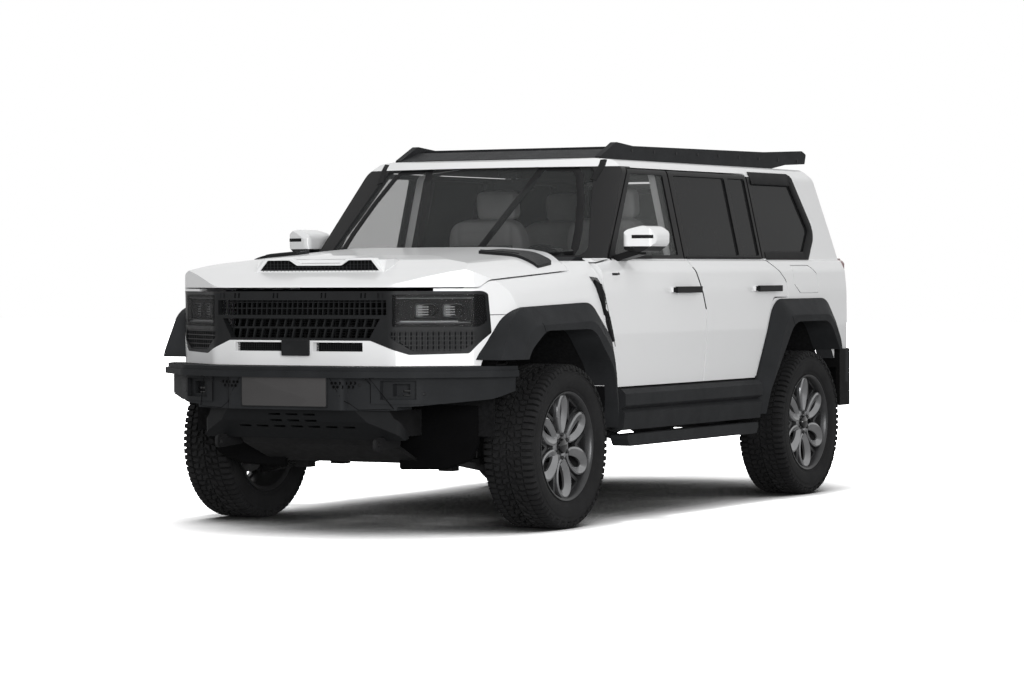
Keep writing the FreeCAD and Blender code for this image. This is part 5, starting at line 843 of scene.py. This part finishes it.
def make_bumper_trim():
    """Hex vent patches, seams, sensors and recess lamps of the front bumper."""
    skin = Skin("front_bumper")
    cells, rims = Form(), Form()
    across = Vector((0, 1, 0))
    corners = hexagon(math.pi / 6)
    for _, sign in SIDES:
        for row in range(2):
            for column in range(6 - row):
                y, z = sign * (0.275 + column * 0.0215 + row * 0.0108), 0.752 - row * 0.0187
                place, normal = skin.hit((AHEAD, y, z), TO_REAR)
                up = normal.cross(across).normalized()
                for form, levels in (
                        (rims, ((0.0108, -0.002), (0.0108 * 0.97, 0.0016), (0.0084, 0.0016),
                                (0.0084 * 0.94, -0.002))),
                        (cells, ((0.0086, -0.003), (0.0086, 0.0004)))):
                    form.loft([section(place + normal * level, across * radius, up * radius, corners)
                               for radius, level in levels], caps=form is cells)
    rims.place("hex_vent_rims", TRIM_FINE, "root", weld=False)
    cells.place("hex_vent_cells", DEEP, "root", weld=False)
    seams = [[(AHEAD, sign * y, z) for y, z in path] for _, sign in SIDES for path in (
        ((0.262, 0.775), (0.285, 0.74), (0.335, 0.665), (0.40, 0.622), (0.62, 0.628)),
        ((0.462, 0.778), (0.462, 0.655)))]
    for index, seam in enumerate(seams):
        surface_line("bumper_seam_%d" % index, "front_bumper", seam, TO_REAR, 0.0035, DEEP, "root", 0.0004)
    for side, sign in SIDES:
        sensors, lamp = Form(), Form()
        for y, z in ((0.70, 0.700), (0.405, 0.742)):
            place, normal = skin.hit((AHEAD, sign * y, z), TO_REAR)
            bolt_head(sensors, place, normal, 0.0095, 0.0018)
        sensors.place("park_sensors_" + side, TRIM_FINE, "root", bevel=0.0006, segments=1)
        y = sign * 0.59
        for z in (0.690, 0.712):
            x = skin.hit((AHEAD, y, z), TO_REAR)[0].x
            lamp.block((x - 0.002, y - 0.034, z - 0.006), (x + 0.004, y + 0.034, z + 0.006))
        lamp.place("recess_lamp_" + side, GLOSS, "root", bevel=0.002)


def make_headlamps():
    """Projector faces with light lines, upper and lower bars, bezels and side markers."""
    skin = Skin("headlamp_lenses")
    steps = 12
    for side, sign in SIDES:
        bars, bezels, lines, marker = Form(), Form(), Form(), Form()
        sweep = Vector((-0.62, 0.785 * sign, 0)).normalized()
        normal = Vector((0.785, 0.62 * sign, 0)).normalized()

        def behind_lens(y, depth, z):
            place = skin.hit((AHEAD, sign * y, z), TO_REAR)[0]
            return Vector((place.x, place.y, z)) - normal * depth

        for y in (0.655, 0.765):
            middle = behind_lens(y, 0.026, 1.100)
            bezels.loft([section(middle + normal * level, sweep, UP,
                                 rounded_box((-width, -height), (width, height), 0.018, 5))
                         for width, height, level in (
                (0.048, 0.036, -0.012), (0.048, 0.036, 0.0), (0.044, 0.032, 0.003), (0.041, 0.029, -0.008))])
            for line in range(4):
                centre = middle + UP * ((line - 1.5) * 0.0125) - normal * 0.004
                lines.loft([section(centre + sweep * reach, normal, UP, tapered(0.0, 0.0035, 0.0028, 0.0022))
                            for reach in (-0.033, 0.033)])
        for z, height, start, end in ((1.163, 0.0045, 0.535, 0.845), (1.040, 0.0085, 0.535, 0.835)):
            bars.loft([section(behind_lens(start + (end - start) * step / steps, 0.014, z), normal, UP,
                               tapered(-0.006, 0.004, height, height * 0.7)) for step in range(steps + 1)])
        low, high = (behind_lens(y, 0.009, 1.049) for y in (0.555, 0.785))
        lines.loft([section(point, normal, UP, tapered(-0.002, 0.004, 0.0035, 0.0025))
                    for point in (low, low.lerp(high, 0.5), high)])
        marker.loft([section(behind_lens(0.848, 0.012, z), sweep, normal, (
            (-0.013, -0.006), (0.013, -0.006), (0.013, 0.004), (-0.013, 0.004)))
            for z in (1.052, 1.085, 1.120, 1.150)])
        bezels.place("projector_bezels_" + side, LAMP_GREY, "root", weld=False)
        lines.place("projector_lines_" + side, LED, "root", bevel=0.0006, segments=1, weld=False)
        bars.place("day_light_bars_" + side, LAMP_GREY, "root", bevel=0.0008, segments=1, weld=False)
        marker.place("side_marker_" + side, ALLOY_DARK, "root", bevel=0.001, segments=1)


def make_scoop_mouth():
    """Dark mouth of the bonnet scoop with its lip and wire mesh."""
    skin = Skin("bonnet", "bonnet_vents")
    outline = [(-0.358, 1.290), (0.358, 1.290), (0.305, 1.349), (0.175, 1.349), (0.130, 1.323), (-0.130, 1.323),
               (-0.175, 1.349), (-0.305, 1.349)]
    outer = [(-0.386, 1.282), (0.386, 1.282), (0.322, 1.360), (0.166, 1.360), (0.122, 1.334), (-0.122, 1.334),
             (-0.166, 1.360), (-0.322, 1.360)]
    face = max(skin.hit((NEAR_AHEAD, y, 1.30), TO_REAR)[0].x for y in (-0.2, 0.0, 0.2))
    mouth = Form().loft([crosswise(face - 0.004, outline), crosswise(face + 0.0012, outline)])
    mouth.place("scoop_mouth", DEEP, "bonnet_lid", bevel=0.0005, segments=1)
    lip = Form().loft([crosswise(face - 0.03, outer), crosswise(face + 0.004, outer),
                       crosswise(face + 0.007, outer, 0.985, 0.9, 1.316),
                       crosswise(face + 0.006, outline), crosswise(face + 0.0002, outline)], caps=False)
    lip.place("scoop_lip", PAINT, "bonnet_lid")
    wires = Form()
    for index in range(32):
        y = -0.332 + index * 0.0214
        top = 1.348 if 0.172 < abs(y) <= 0.318 else 1.322 if abs(y) > 0.318 else 1.323
        wires.block((face + 0.0008, y - 0.0016, 1.294), (face + 0.0035, y + 0.0016, top))
    for z, reach in ((1.302, 0.344), (1.313, 0.336)):
        wires.block((face + 0.0004, -reach, z), (face + 0.0028, reach, z + 0.0026))
    for _, sign in SIDES:
        low, high = sorted((sign * 0.165, sign * 0.326))
        wires.block((face + 0.0004, low, 1.327), (face + 0.0028, high, 1.3296))
    wires.place("scoop_wires", TRIM, "bonnet_lid", weld=False)


def make_splash_shields():
    """Dark shields under the bumper, from the skid plate's edge to the tyre."""
    top = 0.63
    for side, sign in SIDES:
        outline = [(sign * y, z) for y, z in (
            (0.34, 0.305), (0.60, 0.312), (0.745, 0.36), (0.79, 0.44), (0.79, top), (0.34, top))]
        form = Form().loft([crosswise(fore(x), outline, 0.99 + 0.01 * share, share, top)
                            for x, share in ((0.475, 1.0), (0.482, 1.0), (0.50, 0.97))])
        form.place("splash_shield_" + side, DEEP, "root", bevel=0.004)


make_scoop_mouth()
make_splash_shields()
make_radiator()
make_slot_mesh()
make_badge_block()
make_plate()
make_bumper_trim()
make_headlamps()


# Sides, roof and rear

def make_flare_trim():
    """Panel seams of the arch flares."""
    marks = (
        ("front", AXLE_FRONT, (((0.30, 1.035), (0.235, 0.93)), ((-0.40, 1.02), (-0.37, 0.93)),
                               ((-0.72, 0.84), (-0.585, 0.745)))),
        ("rear", AXLE_REAR, (((0.28, 1.03), (0.22, 0.94)), ((-0.40, 1.02), (-0.35, 0.93)))))
    for side, sign in SIDES:
        for end, axle, seams in marks:
            for index, seam in enumerate(seams):
                surface_line("%s_flare_seam_%d_%s" % (end, index, side), "arch_flares",
                             [(axle + x, sign * BESIDE, z) for x, z in seam], (0, -sign, 0),
                             0.0035, DEEP, "root", 0.0005, step=0.012)


def make_window_trim():
    """Belt strips under the side glass, and the black border of the windscreen."""
    for side, sign in SIDES:
        for door, low, high in (("front", -1.17, -0.585), ("rear", -2.535, -1.585)):
            surface_line("belt_strip_%s_%s" % (door, side), "%s_door_%s" % (door, side),
                         [(fore(x), sign * BESIDE, 1.362) for x in (low, high)], (0, -sign, 0),
                         0.013, SEAL, "%s_door_%s_panel" % (door, side), 0.004)
    half = [(0.0, 1.36), (0.35, 1.358), (0.69, 1.352), (0.72, 1.38), (0.695, 1.50), (0.64, 1.66), (0.575, 1.80),
            (0.54, 1.835), (0.30, 1.846), (0.0, 1.85)]
    border = half + [(-y, z) for y, z in reversed(half[:-1])]
    surface_line("windscreen_border", "windscreen", [(FAR_AHEAD, y, z) for y, z in border], TO_REAR,
                 0.044, SEAL, "root")


def make_roof_seams():
    """Black seam over the roof's side from each front pillar to the rack."""
    for side, sign in SIDES:
        direction = Vector((0, -sign * 0.7, -0.7))
        points = [Vector((fore(x), sign * y, z)) - direction * 0.5 for x, y, z in (
            (-0.955, 0.715, 1.825), (-1.03, 0.69, 1.865), (-1.10, 0.64, 1.905))]
        surface_line("roof_seam_" + side, "body_shell", points, direction, 0.042, SEAL, "root", 0.002)


def make_mirror_lamps():
    """Dark lamp slot on the front of each outside mirror."""
    for side, sign in SIDES:
        low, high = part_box("mirror_" + side)
        outer = max(abs(low[1]), abs(high[1]))
        surface_line("mirror_lamp_" + side, "mirror_" + side,
                     [(high[0] + 0.2, sign * (outer - inset), 1.468) for inset in (0.115, 0.012)],
                     TO_REAR, 0.020, SEAL, "front_door_%s_panel" % side, 0.002, step=0.012)


def quarter_outline(sign):
    """Corners of the rear side glass as seen from the side, in order round it."""
    spots = sorted({(round(vertex.co.x, 3), round(vertex.co.z, 3)) for vertex in NODES["quarter_glass"].data.vertices
                    if vertex.co.y * sign > 0})
    hull = []
    for points in (spots, spots[::-1]):
        chain = []
        for point in points:
            while len(chain) > 1 and ((chain[-1][0] - chain[-2][0]) * (point[1] - chain[-2][1])
                                      - (chain[-1][1] - chain[-2][1]) * (point[0] - chain[-2][0])) <= 1e-7:
                chain.pop()
            chain.append(point)
        hull += chain[:-1]
    return hull


def make_quarter_bands():
    """Black band round the rear side glass, along its top, back and foot."""
    offset, rise = 0.016, 0.010
    for side, sign in SIDES:
        hull = [Vector(point) for point in quarter_outline(sign)]
        middle = sum(hull, Vector((0, 0))) / len(hull)
        wide = [tuple(point + (point - middle).normalized() * offset) for point in hull]
        front = max(point.x for point in hull) - 0.004
        top = max(point.y for point in hull) + rise
        kept = [point for point in rounded(wide, 0.09, 6) if point[0] < front]
        start = max(range(len(kept)), key=lambda k: (Vector(kept[k]) - Vector(kept[k - 1])).length)
        kept = [(x, min(z, top)) for x, z in kept[start:] + kept[:start]]
        kept = [(front, kept[0][1])] + kept + [(front, kept[-1][1])]
        surface_line("quarter_band_" + side, "body_shell quarter_glass", [(x, sign * BESIDE, z) for x, z in kept],
                     (0, -sign, 0), 0.078, SEAL, "root", 0.0026)


def make_wing_louvres():
    """Slanted black louvre panel behind each front wheel, with raised blades along it."""
    skin = Skin("front_wings", "wing_vents", "body_shell")
    marks = ((1.247, 1.152, 1.070), (1.155, 1.131, 1.060), (1.045, 1.083, 1.016), (0.925, 1.016, 0.968))
    rows = [[a + (b - a) * step / 6 for a, b in zip(low_mark, high_mark)]
            for low_mark, high_mark in zip(marks, marks[1:]) for step in range(6)] + [marks[-1]]
    top, foot = marks[0][0], marks[-1][0]
    for side, sign in SIDES:
        out = Vector((0, sign, 0))
        rings, blades = [], Form()
        for z, ahead, behind in rows:
            first, last = (skin.hit((x, sign * BESIDE, z), -out)[0] for x in (ahead, behind))
            crest = max(first.y * sign, last.y * sign)
            ridge, valley = first.lerp(last, 0.3), first.lerp(last, 0.75)
            ridge.y, valley.y = sign * (crest + 0.012), sign * (crest + 0.007)
            rings.append([first - out * 0.006, first + out * 0.005, ridge, valley, last + out * 0.006,
                          last - out * 0.006])
        Form().loft(rings).place("wing_louvre_" + side, SEAL, "root", bevel=0.0008, segments=1)
        for z in (1.21, 1.17, 1.13, 1.09, 1.05, 1.01):
            ahead = 1.127 - 0.085 * ((top - z) / (top - foot)) ** 1.4
            spot = skin.hit((ahead, sign * BESIDE, z), -out)[0]
            near, far = sorted((spot.y, spot.y + sign * 0.0075))
            blades.block((spot.x - 0.040, near, z - 0.010), (spot.x - 0.008, far, z - 0.005))
        blades.place("louvre_blades_" + side, TRIM_FINE, "root", bevel=0.0008, segments=1, weld=False)


def make_wipers():
    """Two wiper arms with blades, parked at the foot of the windscreen."""
    skin = Skin("windscreen")
    arms, blades = Form(), Form()
    for start, end in (((0.50, 1.352), (-0.10, 1.392)), ((-0.14, 1.352), (-0.66, 1.392))):
        foot, normal = skin.hit((FAR_AHEAD, *start), TO_REAR)
        tip = skin.hit((FAR_AHEAD, *end), TO_REAR)[0]
        line = tip - foot
        arms.tube([foot - normal * 0.01, foot + normal * 0.018, foot + line * 0.3 + normal * 0.026,
                   foot + line * 0.62 + normal * 0.020], 0.0065)
        low = foot + line * 0.28
        rings = []
        for share, wide in ((0.0, 0.003), (0.05, 0.0055), (0.5, 0.0055), (0.95, 0.0055), (1.0, 0.003)):
            place, facing = skin.hit(low.lerp(tip, share) + Vector((0.5, 0, 0)), TO_REAR)
            rings.append(section(place, facing, UP, (
                (0.0008, -0.0012), (0.010, -wide), (0.016, 0.0), (0.010, wide), (0.0008, 0.0012))))
        blades.loft(rings)
    arms.place("wiper_arms", TRIM_FINE, "root")
    blades.place("wiper_blades", SEAL, "root", weld=False)


def make_rack_bolts():
    """Bolts along both sides of the roof rack."""
    skin = Skin("roof_rack")
    bolts = Form()
    for index in range(9):
        for _, sign in SIDES:
            place, normal = skin.hit((fore(-1.45 - 0.27 * index), sign * NEAR_BESIDE, 1.945), (0, -sign, 0))
            bolt_head(bolts, place, normal, 0.009, 0.004)
    bolts.place("rack_bolts", ALLOY_DARK, "root", weld=False)


def make_step_ribs():
    """Ribbed tread on the side steps."""
    low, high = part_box("side_steps")
    skin = Skin("side_steps")
    margin, pitch = 0.16, 0.024
    start, count = low[0] + margin, int((high[0] - low[0] - 2 * margin) / pitch)
    for side, sign in SIDES:
        y = sign * 0.985
        top = skin.hit((0.0, y, 0.8), DOWN)[0].z
        rib = Form().block((start, y - 0.022, top - 0.001), (start + 0.012, y + 0.022, top + 0.0022))
        ribs = repeated(rib, IN_ROW, count, (pitch, 0, 0), TRIM_FINE, bevel=0.0006)
        seat_mesh(ribs, "step_ribs_" + side, "root")


def make_tail_light_guides():
    """Light guides across the tail lamps."""
    skin = Skin("tail_lamps")
    for side, sign in SIDES:
        form = Form()
        for z in (0.93, 1.02, 1.11, 1.20, 1.29):
            laid = [skin.hit((NEAR_BEHIND, sign * y, z), TO_FRONT) for y in (0.835, 0.865, 0.895)]
            form.loft([section(spot, facing, UP, tapered(-0.003, 0.0012, 0.008, 0.006)) for spot, facing in laid])
        form.place("tail_light_guides_" + side, LED, "root", weld=False)


def make_rear_trim():
    """Sewn rings of the spare wheel cover, seams and reflectors of the rear bumper, and the tail handle."""
    low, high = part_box("spare_cover")
    middle_y, middle_z, radius = (low[1] + high[1]) / 2, (low[2] + high[2]) / 2, (high[2] - low[2]) / 2
    skin = Skin("spare_cover")
    for name, share, width, stand in (("outer", 0.84, 0.010, 0.003), ("inner", 0.50, 0.008, 0.0025)):
        circle = [(BEHIND, middle_y + radius * share * math.cos(angle), middle_z + radius * share * math.sin(angle))
                  for angle in (2 * math.pi * k / 72 for k in range(72))]
        laid = skin.line(circle + circle[:1], TO_FRONT, 0.05)[:-1]
        ribbon(Form(), laid, width, stand, closed=True).place(
            "cover_ring_" + name, TRIM_FINE, "tail_door", weld=False)
    for name, start, end, width, material, stand in (
            ("seam", (-0.80, 0.66), (0.80, 0.66), 0.006, DEEP, 0.0006),
            ("reflector_left", (0.60, 0.59), (0.76, 0.59), 0.030, RED_LENS, 0.004),
            ("joint_left", (0.84, 0.775), (0.80, 0.52), 0.005, DEEP, 0.0006),
            ("reflector_right", (-0.60, 0.59), (-0.76, 0.59), 0.030, RED_LENS, 0.004),
            ("joint_right", (-0.84, 0.775), (-0.80, 0.52), 0.005, DEEP, 0.0006)):
        piece = ("rear_" if name.startswith("reflector") else "rear_bumper_") + name
        surface_line(piece, "rear_bumper", [(BEHIND, *start), (BEHIND, *end)], TO_FRONT, width, material,
                     "root", stand)
    grip = Skin("tailgate").hit((BEHIND, 0.655, 1.16), TO_FRONT)[0]
    handle = Form().block((grip.x - 0.016, 0.58, 1.142), (grip.x + 0.002, 0.73, 1.178))
    handle.place("tail_handle", SEAL, "tail_door", bevel=0.006)


def make_vent_ribs():
    """Raised ribs across the bonnet vents."""
    skin = Skin("bonnet_vents")
    for side, sign in SIDES:
        corners = [vertex.co for vertex in NODES["bonnet_vents"].data.vertices if vertex.co.y * sign > 0.3]
        back, front = min(point.x for point in corners), max(point.x for point in corners)
        form = Form()
        for index in range(1, 8):
            x = back + (front - back) * index / 8
            near = [point.y * sign for point in corners if abs(point.x - x) < 0.05]
            if len(near) < 2 or max(near) - min(near) < 0.03:
                continue
            inner, outer = min(near) + 0.012, max(near) - 0.012
            path = [(x, sign * (inner + (outer - inner) * k / 4), 2.0) for k in range(5)]
            ribbon(form, skin.line(path, DOWN, 0.05), 0.012, 0.004)
        form.place("bonnet_vent_ribs_" + side, TRIM_FINE, "bonnet_lid", weld=False)


def make_springs():
    """Coil springs over the dampers at the four corners."""
    radius, turns, steps = 0.062, 6, 26
    for wheel, (axle, sign) in WHEELS.items():
        y, low, high = (0.60, 0.56, 0.86) if axle == AXLE_FRONT else (0.52, 0.50, 0.78)
        path = []
        for step in range(turns * steps + 1):
            angle = 2 * math.pi * step / steps
            path.append((axle + radius * math.cos(angle), sign * y + radius * math.sin(angle),
                         low + (high - low) * step / (turns * steps)))
        Form().tube(path, 0.0075).place("coil_spring_" + wheel, STEEL, "root")


make_flare_trim()
make_window_trim()
make_quarter_bands()
make_roof_seams()
make_mirror_lamps()
make_wing_louvres()
make_wipers()
make_rack_bolts()
make_step_ribs()
make_tail_light_guides()
make_rear_trim()
make_vent_ribs()
make_springs()


# Cabin

def pad(name, place, size, lean, crown=0.012, channels=0):
    """Crowned cushion whose sides pull in, with sewn channels on its broad face."""
    count, power = 28, 5.0
    half = Vector(size) / 2
    turn = Matrix.Rotation(lean, 3, "Y")
    middle = Vector(place)

    def point(corner):
        """Corner of the unit cube drawn onto the cushion."""
        corner = Vector(corner)
        corner = corner / (abs(corner.x) ** power + abs(corner.y) ** power + abs(corner.z) ** power) ** (1 / power)
        level = Vector((corner.x * half.x, corner.y * half.y, corner.z * half.z))
        if corner.z > 0:
            level.z += crown * max(0.0, 1 - corner.x ** 2) * max(0.0, 1 - corner.y ** 2)
        pull = 1 - 0.03 * (1 - abs(corner.z)) * (1 - min(1, abs(corner.x * corner.y)))
        level.x *= pull
        level.y *= pull
        if channels and corner.z > 0.6 and abs(corner.y) < 0.66 and abs(corner.x) < 0.86:
            wave = abs(math.sin(math.pi * channels * (corner.x + 1) / 2))
            level.z -= 0.007 * (1 - wave) ** 3
        if channels and corner.z > 0.5:
            level.z -= 0.009 * math.exp(-((abs(corner.y) - 0.69) / 0.035) ** 2)
        return middle + turn @ level

    marks = [2 * step / count - 1 for step in range(count + 1)]
    quads = [[low, low + 1, low + count + 2, low + count + 1] for row in range(count)
             for low in range(row * (count + 1), row * (count + 1) + count)]
    form = Form()
    for axis in (2, 0, 1):
        for sign in (1, -1):
            corners = []
            for a in marks:
                for b in marks:
                    spot = [a, b]
                    spot.insert(axis, sign)
                    corners.append(point(spot))
            form.add(corners, quads)
    piece = form.place(name, LEATHER, "root", angle=60)
    return piece


def make_seats():
    """Leather seats: cushion, back and head rest of each front seat and of each part of the bench."""
    back_lean, head_lean = math.pi / 2 + 0.20, math.pi / 2 + 0.12
    for (cushion, back, head), y, head_y, wide, back_wide, (x, back_x, head_x) in (
            (("seat_cushion_", "seat_back_", "head_rest_"), 0.38, 0.38, 0.50, 0.49, (-1.36, -1.70, -1.775)),
            (("bench_cushion_", "bench_back_", "bench_head_rest_"), 0.31, 0.36, 0.60, 0.59,
             (-2.14, -2.48, -2.555))):
        for side, sign in SIDES:
            pad(cushion + side, (fore(x), sign * y, 0.935), (0.50, wide, 0.13), -0.06, channels=7)
            pad(back + side, (fore(back_x), sign * y, 1.29), (0.60, back_wide, 0.13), back_lean, channels=8)
            pad(head + side, (fore(head_x), sign * head_y, 1.665), (0.17, 0.25, 0.10), head_lean, crown=0.01)
    bases = Form()
    for _, sign in SIDES:
        bases.block((fore(-1.60), sign * 0.38 - 0.20, 0.66), (fore(-1.18), sign * 0.38 + 0.20, 0.876))
        for post in (-0.05, 0.05):
            for y, foot, top in ((0.38, -1.765, -1.775), (0.36, -2.545, -2.555)):
                bases.tube([(fore(foot), sign * y + post, 1.52), (fore(top), sign * y + post, 1.62)], 0.006)
    bases.block((fore(-2.38), -0.50, 0.66), (fore(-1.95), 0.50, 0.876))
    base = bases.place("seat_bases", CABIN, "root", bevel=0.004)
    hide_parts("seats")


def make_cabin_trim():
    """Centre screen, driver's display and mirror."""
    for name, y, width, z, height, x in (("centre_screen", 0.0, 0.36, 1.345, 0.17, -0.945),
                                         ("driver_display", 0.38, 0.27, 1.36, 0.11, -0.90)):
        outline = rounded_box((y - width / 2, z - height / 2), (y + width / 2, z + height / 2), 0.01)
        form = Form().loft([crosswise(fore(x) + 0.018, outline), crosswise(fore(x), outline)])
        form.place(name, SCREEN, "root", bevel=0.002)
    outline = rounded([(-0.13, 1.735), (0.13, 1.735), (0.12, 1.795), (-0.12, 1.795)], 0.02)
    mirror = Form().loft([crosswise(fore(-1.30), outline), crosswise(fore(-1.275), outline, wide=0.96)])
    mirror.tube([(fore(-1.285), 0, 1.79), (fore(-1.25), 0, 1.822)], 0.012)
    mirror.block((fore(-1.27), -0.055, 1.80), (fore(-1.20), 0.055, 1.832))
    mirror.place("cabin_mirror", TRIM_FINE, "root", bevel=0.003)


make_seats()
make_cabin_trim()


# Floor and light

def make_floor():
    """Pale floor that fades into the white surround; for camera rays alone its colour darkens with ambient occlusion
    under the vehicle, a painted shadow.
    """
    form = Form().block((-60, -60, -0.02), (60, 60, -0.0005))
    mesh = bpy.data.meshes.new("studio_floor")
    mesh.from_pydata([tuple(corner) for corner in form.corners], [], form.faces)
    floor = bpy.data.objects.new("studio_floor", mesh)
    SCENE.collection.objects.link(floor)
    pale = Finish("floor_pale_painted_shadow", (0.6, 0.6, 0.6), 0.9, specular=0.0).mottle(0.004, 0.5)
    shown = pale.node("ShaderNodeBsdfDiffuse")
    painted_shadow_ao = pale.node("ShaderNodeAmbientOcclusion", samples=8)
    painted_shadow_ao.inputs["Distance"].default_value = 1.1
    # Painted shadow: the floor's colour falls with ambient occlusion, darkest under the vehicle.
    pale.link(pale.span(painted_shadow_ao.outputs["AO"], 0.1, 4.6, start=0.3), shown.inputs["Color"])
    glow = pale.node("ShaderNodeEmission")
    far_off = pale.node("ShaderNodeVectorMath", operation="LENGTH")
    pale.link(pale.place, far_off.inputs[0])
    fade = pale.span(far_off.outputs["Value"], 0.0, 1.0, start=3.4, end=6.5, interpolation_type="SMOOTHSTEP")
    pale.link(fade, glow.inputs["Strength"])
    both = pale.node("ShaderNodeAddShader")
    pale.link(shown.outputs[0], both.inputs[0])
    pale.link(glow.outputs[0], both.inputs[1])
    choose = pale.node("ShaderNodeMixShader")
    pale.link(pale.node("ShaderNodeLightPath").outputs["Is Camera Ray"], choose.inputs[0])
    pale.link(pale.shader.outputs[0], choose.inputs[1])
    pale.link(both.outputs[0], choose.inputs[2])
    pale.link(choose.outputs[0], pale.tree.nodes["Material Output"].inputs["Surface"])
    mesh.materials.append(pale.material)


def set_light():
    """White surround that lights less than it shows, a soft top light and a large one at the front left."""
    world = bpy.data.worlds.new("studio_surround")
    SCENE.world = world
    world.use_nodes = True
    tree = world.node_tree
    back = tree.nodes["Background"]
    back.inputs["Color"].default_value = (1, 1, 1, 1)
    path = tree.nodes.new("ShaderNodeLightPath")
    seen = path.outputs["Is Camera Ray"]
    for name in ("Is Glossy Ray", "Is Transmission Ray"):
        most = tree.nodes.new("ShaderNodeMath")
        most.operation = "MAXIMUM"
        tree.links.new(seen, most.inputs[0])
        tree.links.new(path.outputs[name], most.inputs[1])
        seen = most.outputs[0]
    level = tree.nodes.new("ShaderNodeMapRange")
    level.inputs["To Min"].default_value = 0.46
    level.inputs["To Max"].default_value = 1.0
    tree.links.new(seen, level.inputs["Value"])
    tree.links.new(level.outputs["Result"], back.inputs["Strength"])
    for name, place, target, size, power in (
            ("top_softbox", (1.0, 0.4, 14.0), (0, 0, 0), 1.0, 420),
            ("front_left_softbox", (12.4, 9.2, 2.6), (0.3, 0, 0.9), 5.0, 1300)):
        light = bpy.data.lights.new(name, "AREA")
        light.shape = "SQUARE"
        light.size = size
        light.energy = power
        lamp = bpy.data.objects.new(name, light)
        lamp.location = place
        lamp.rotation_euler = (Vector(target) - Vector(place)).to_track_quat("-Z", "Y").to_euler()
        SCENE.collection.objects.link(lamp)


make_floor()
set_light()
SCENE.view_settings.view_transform = "Standard"
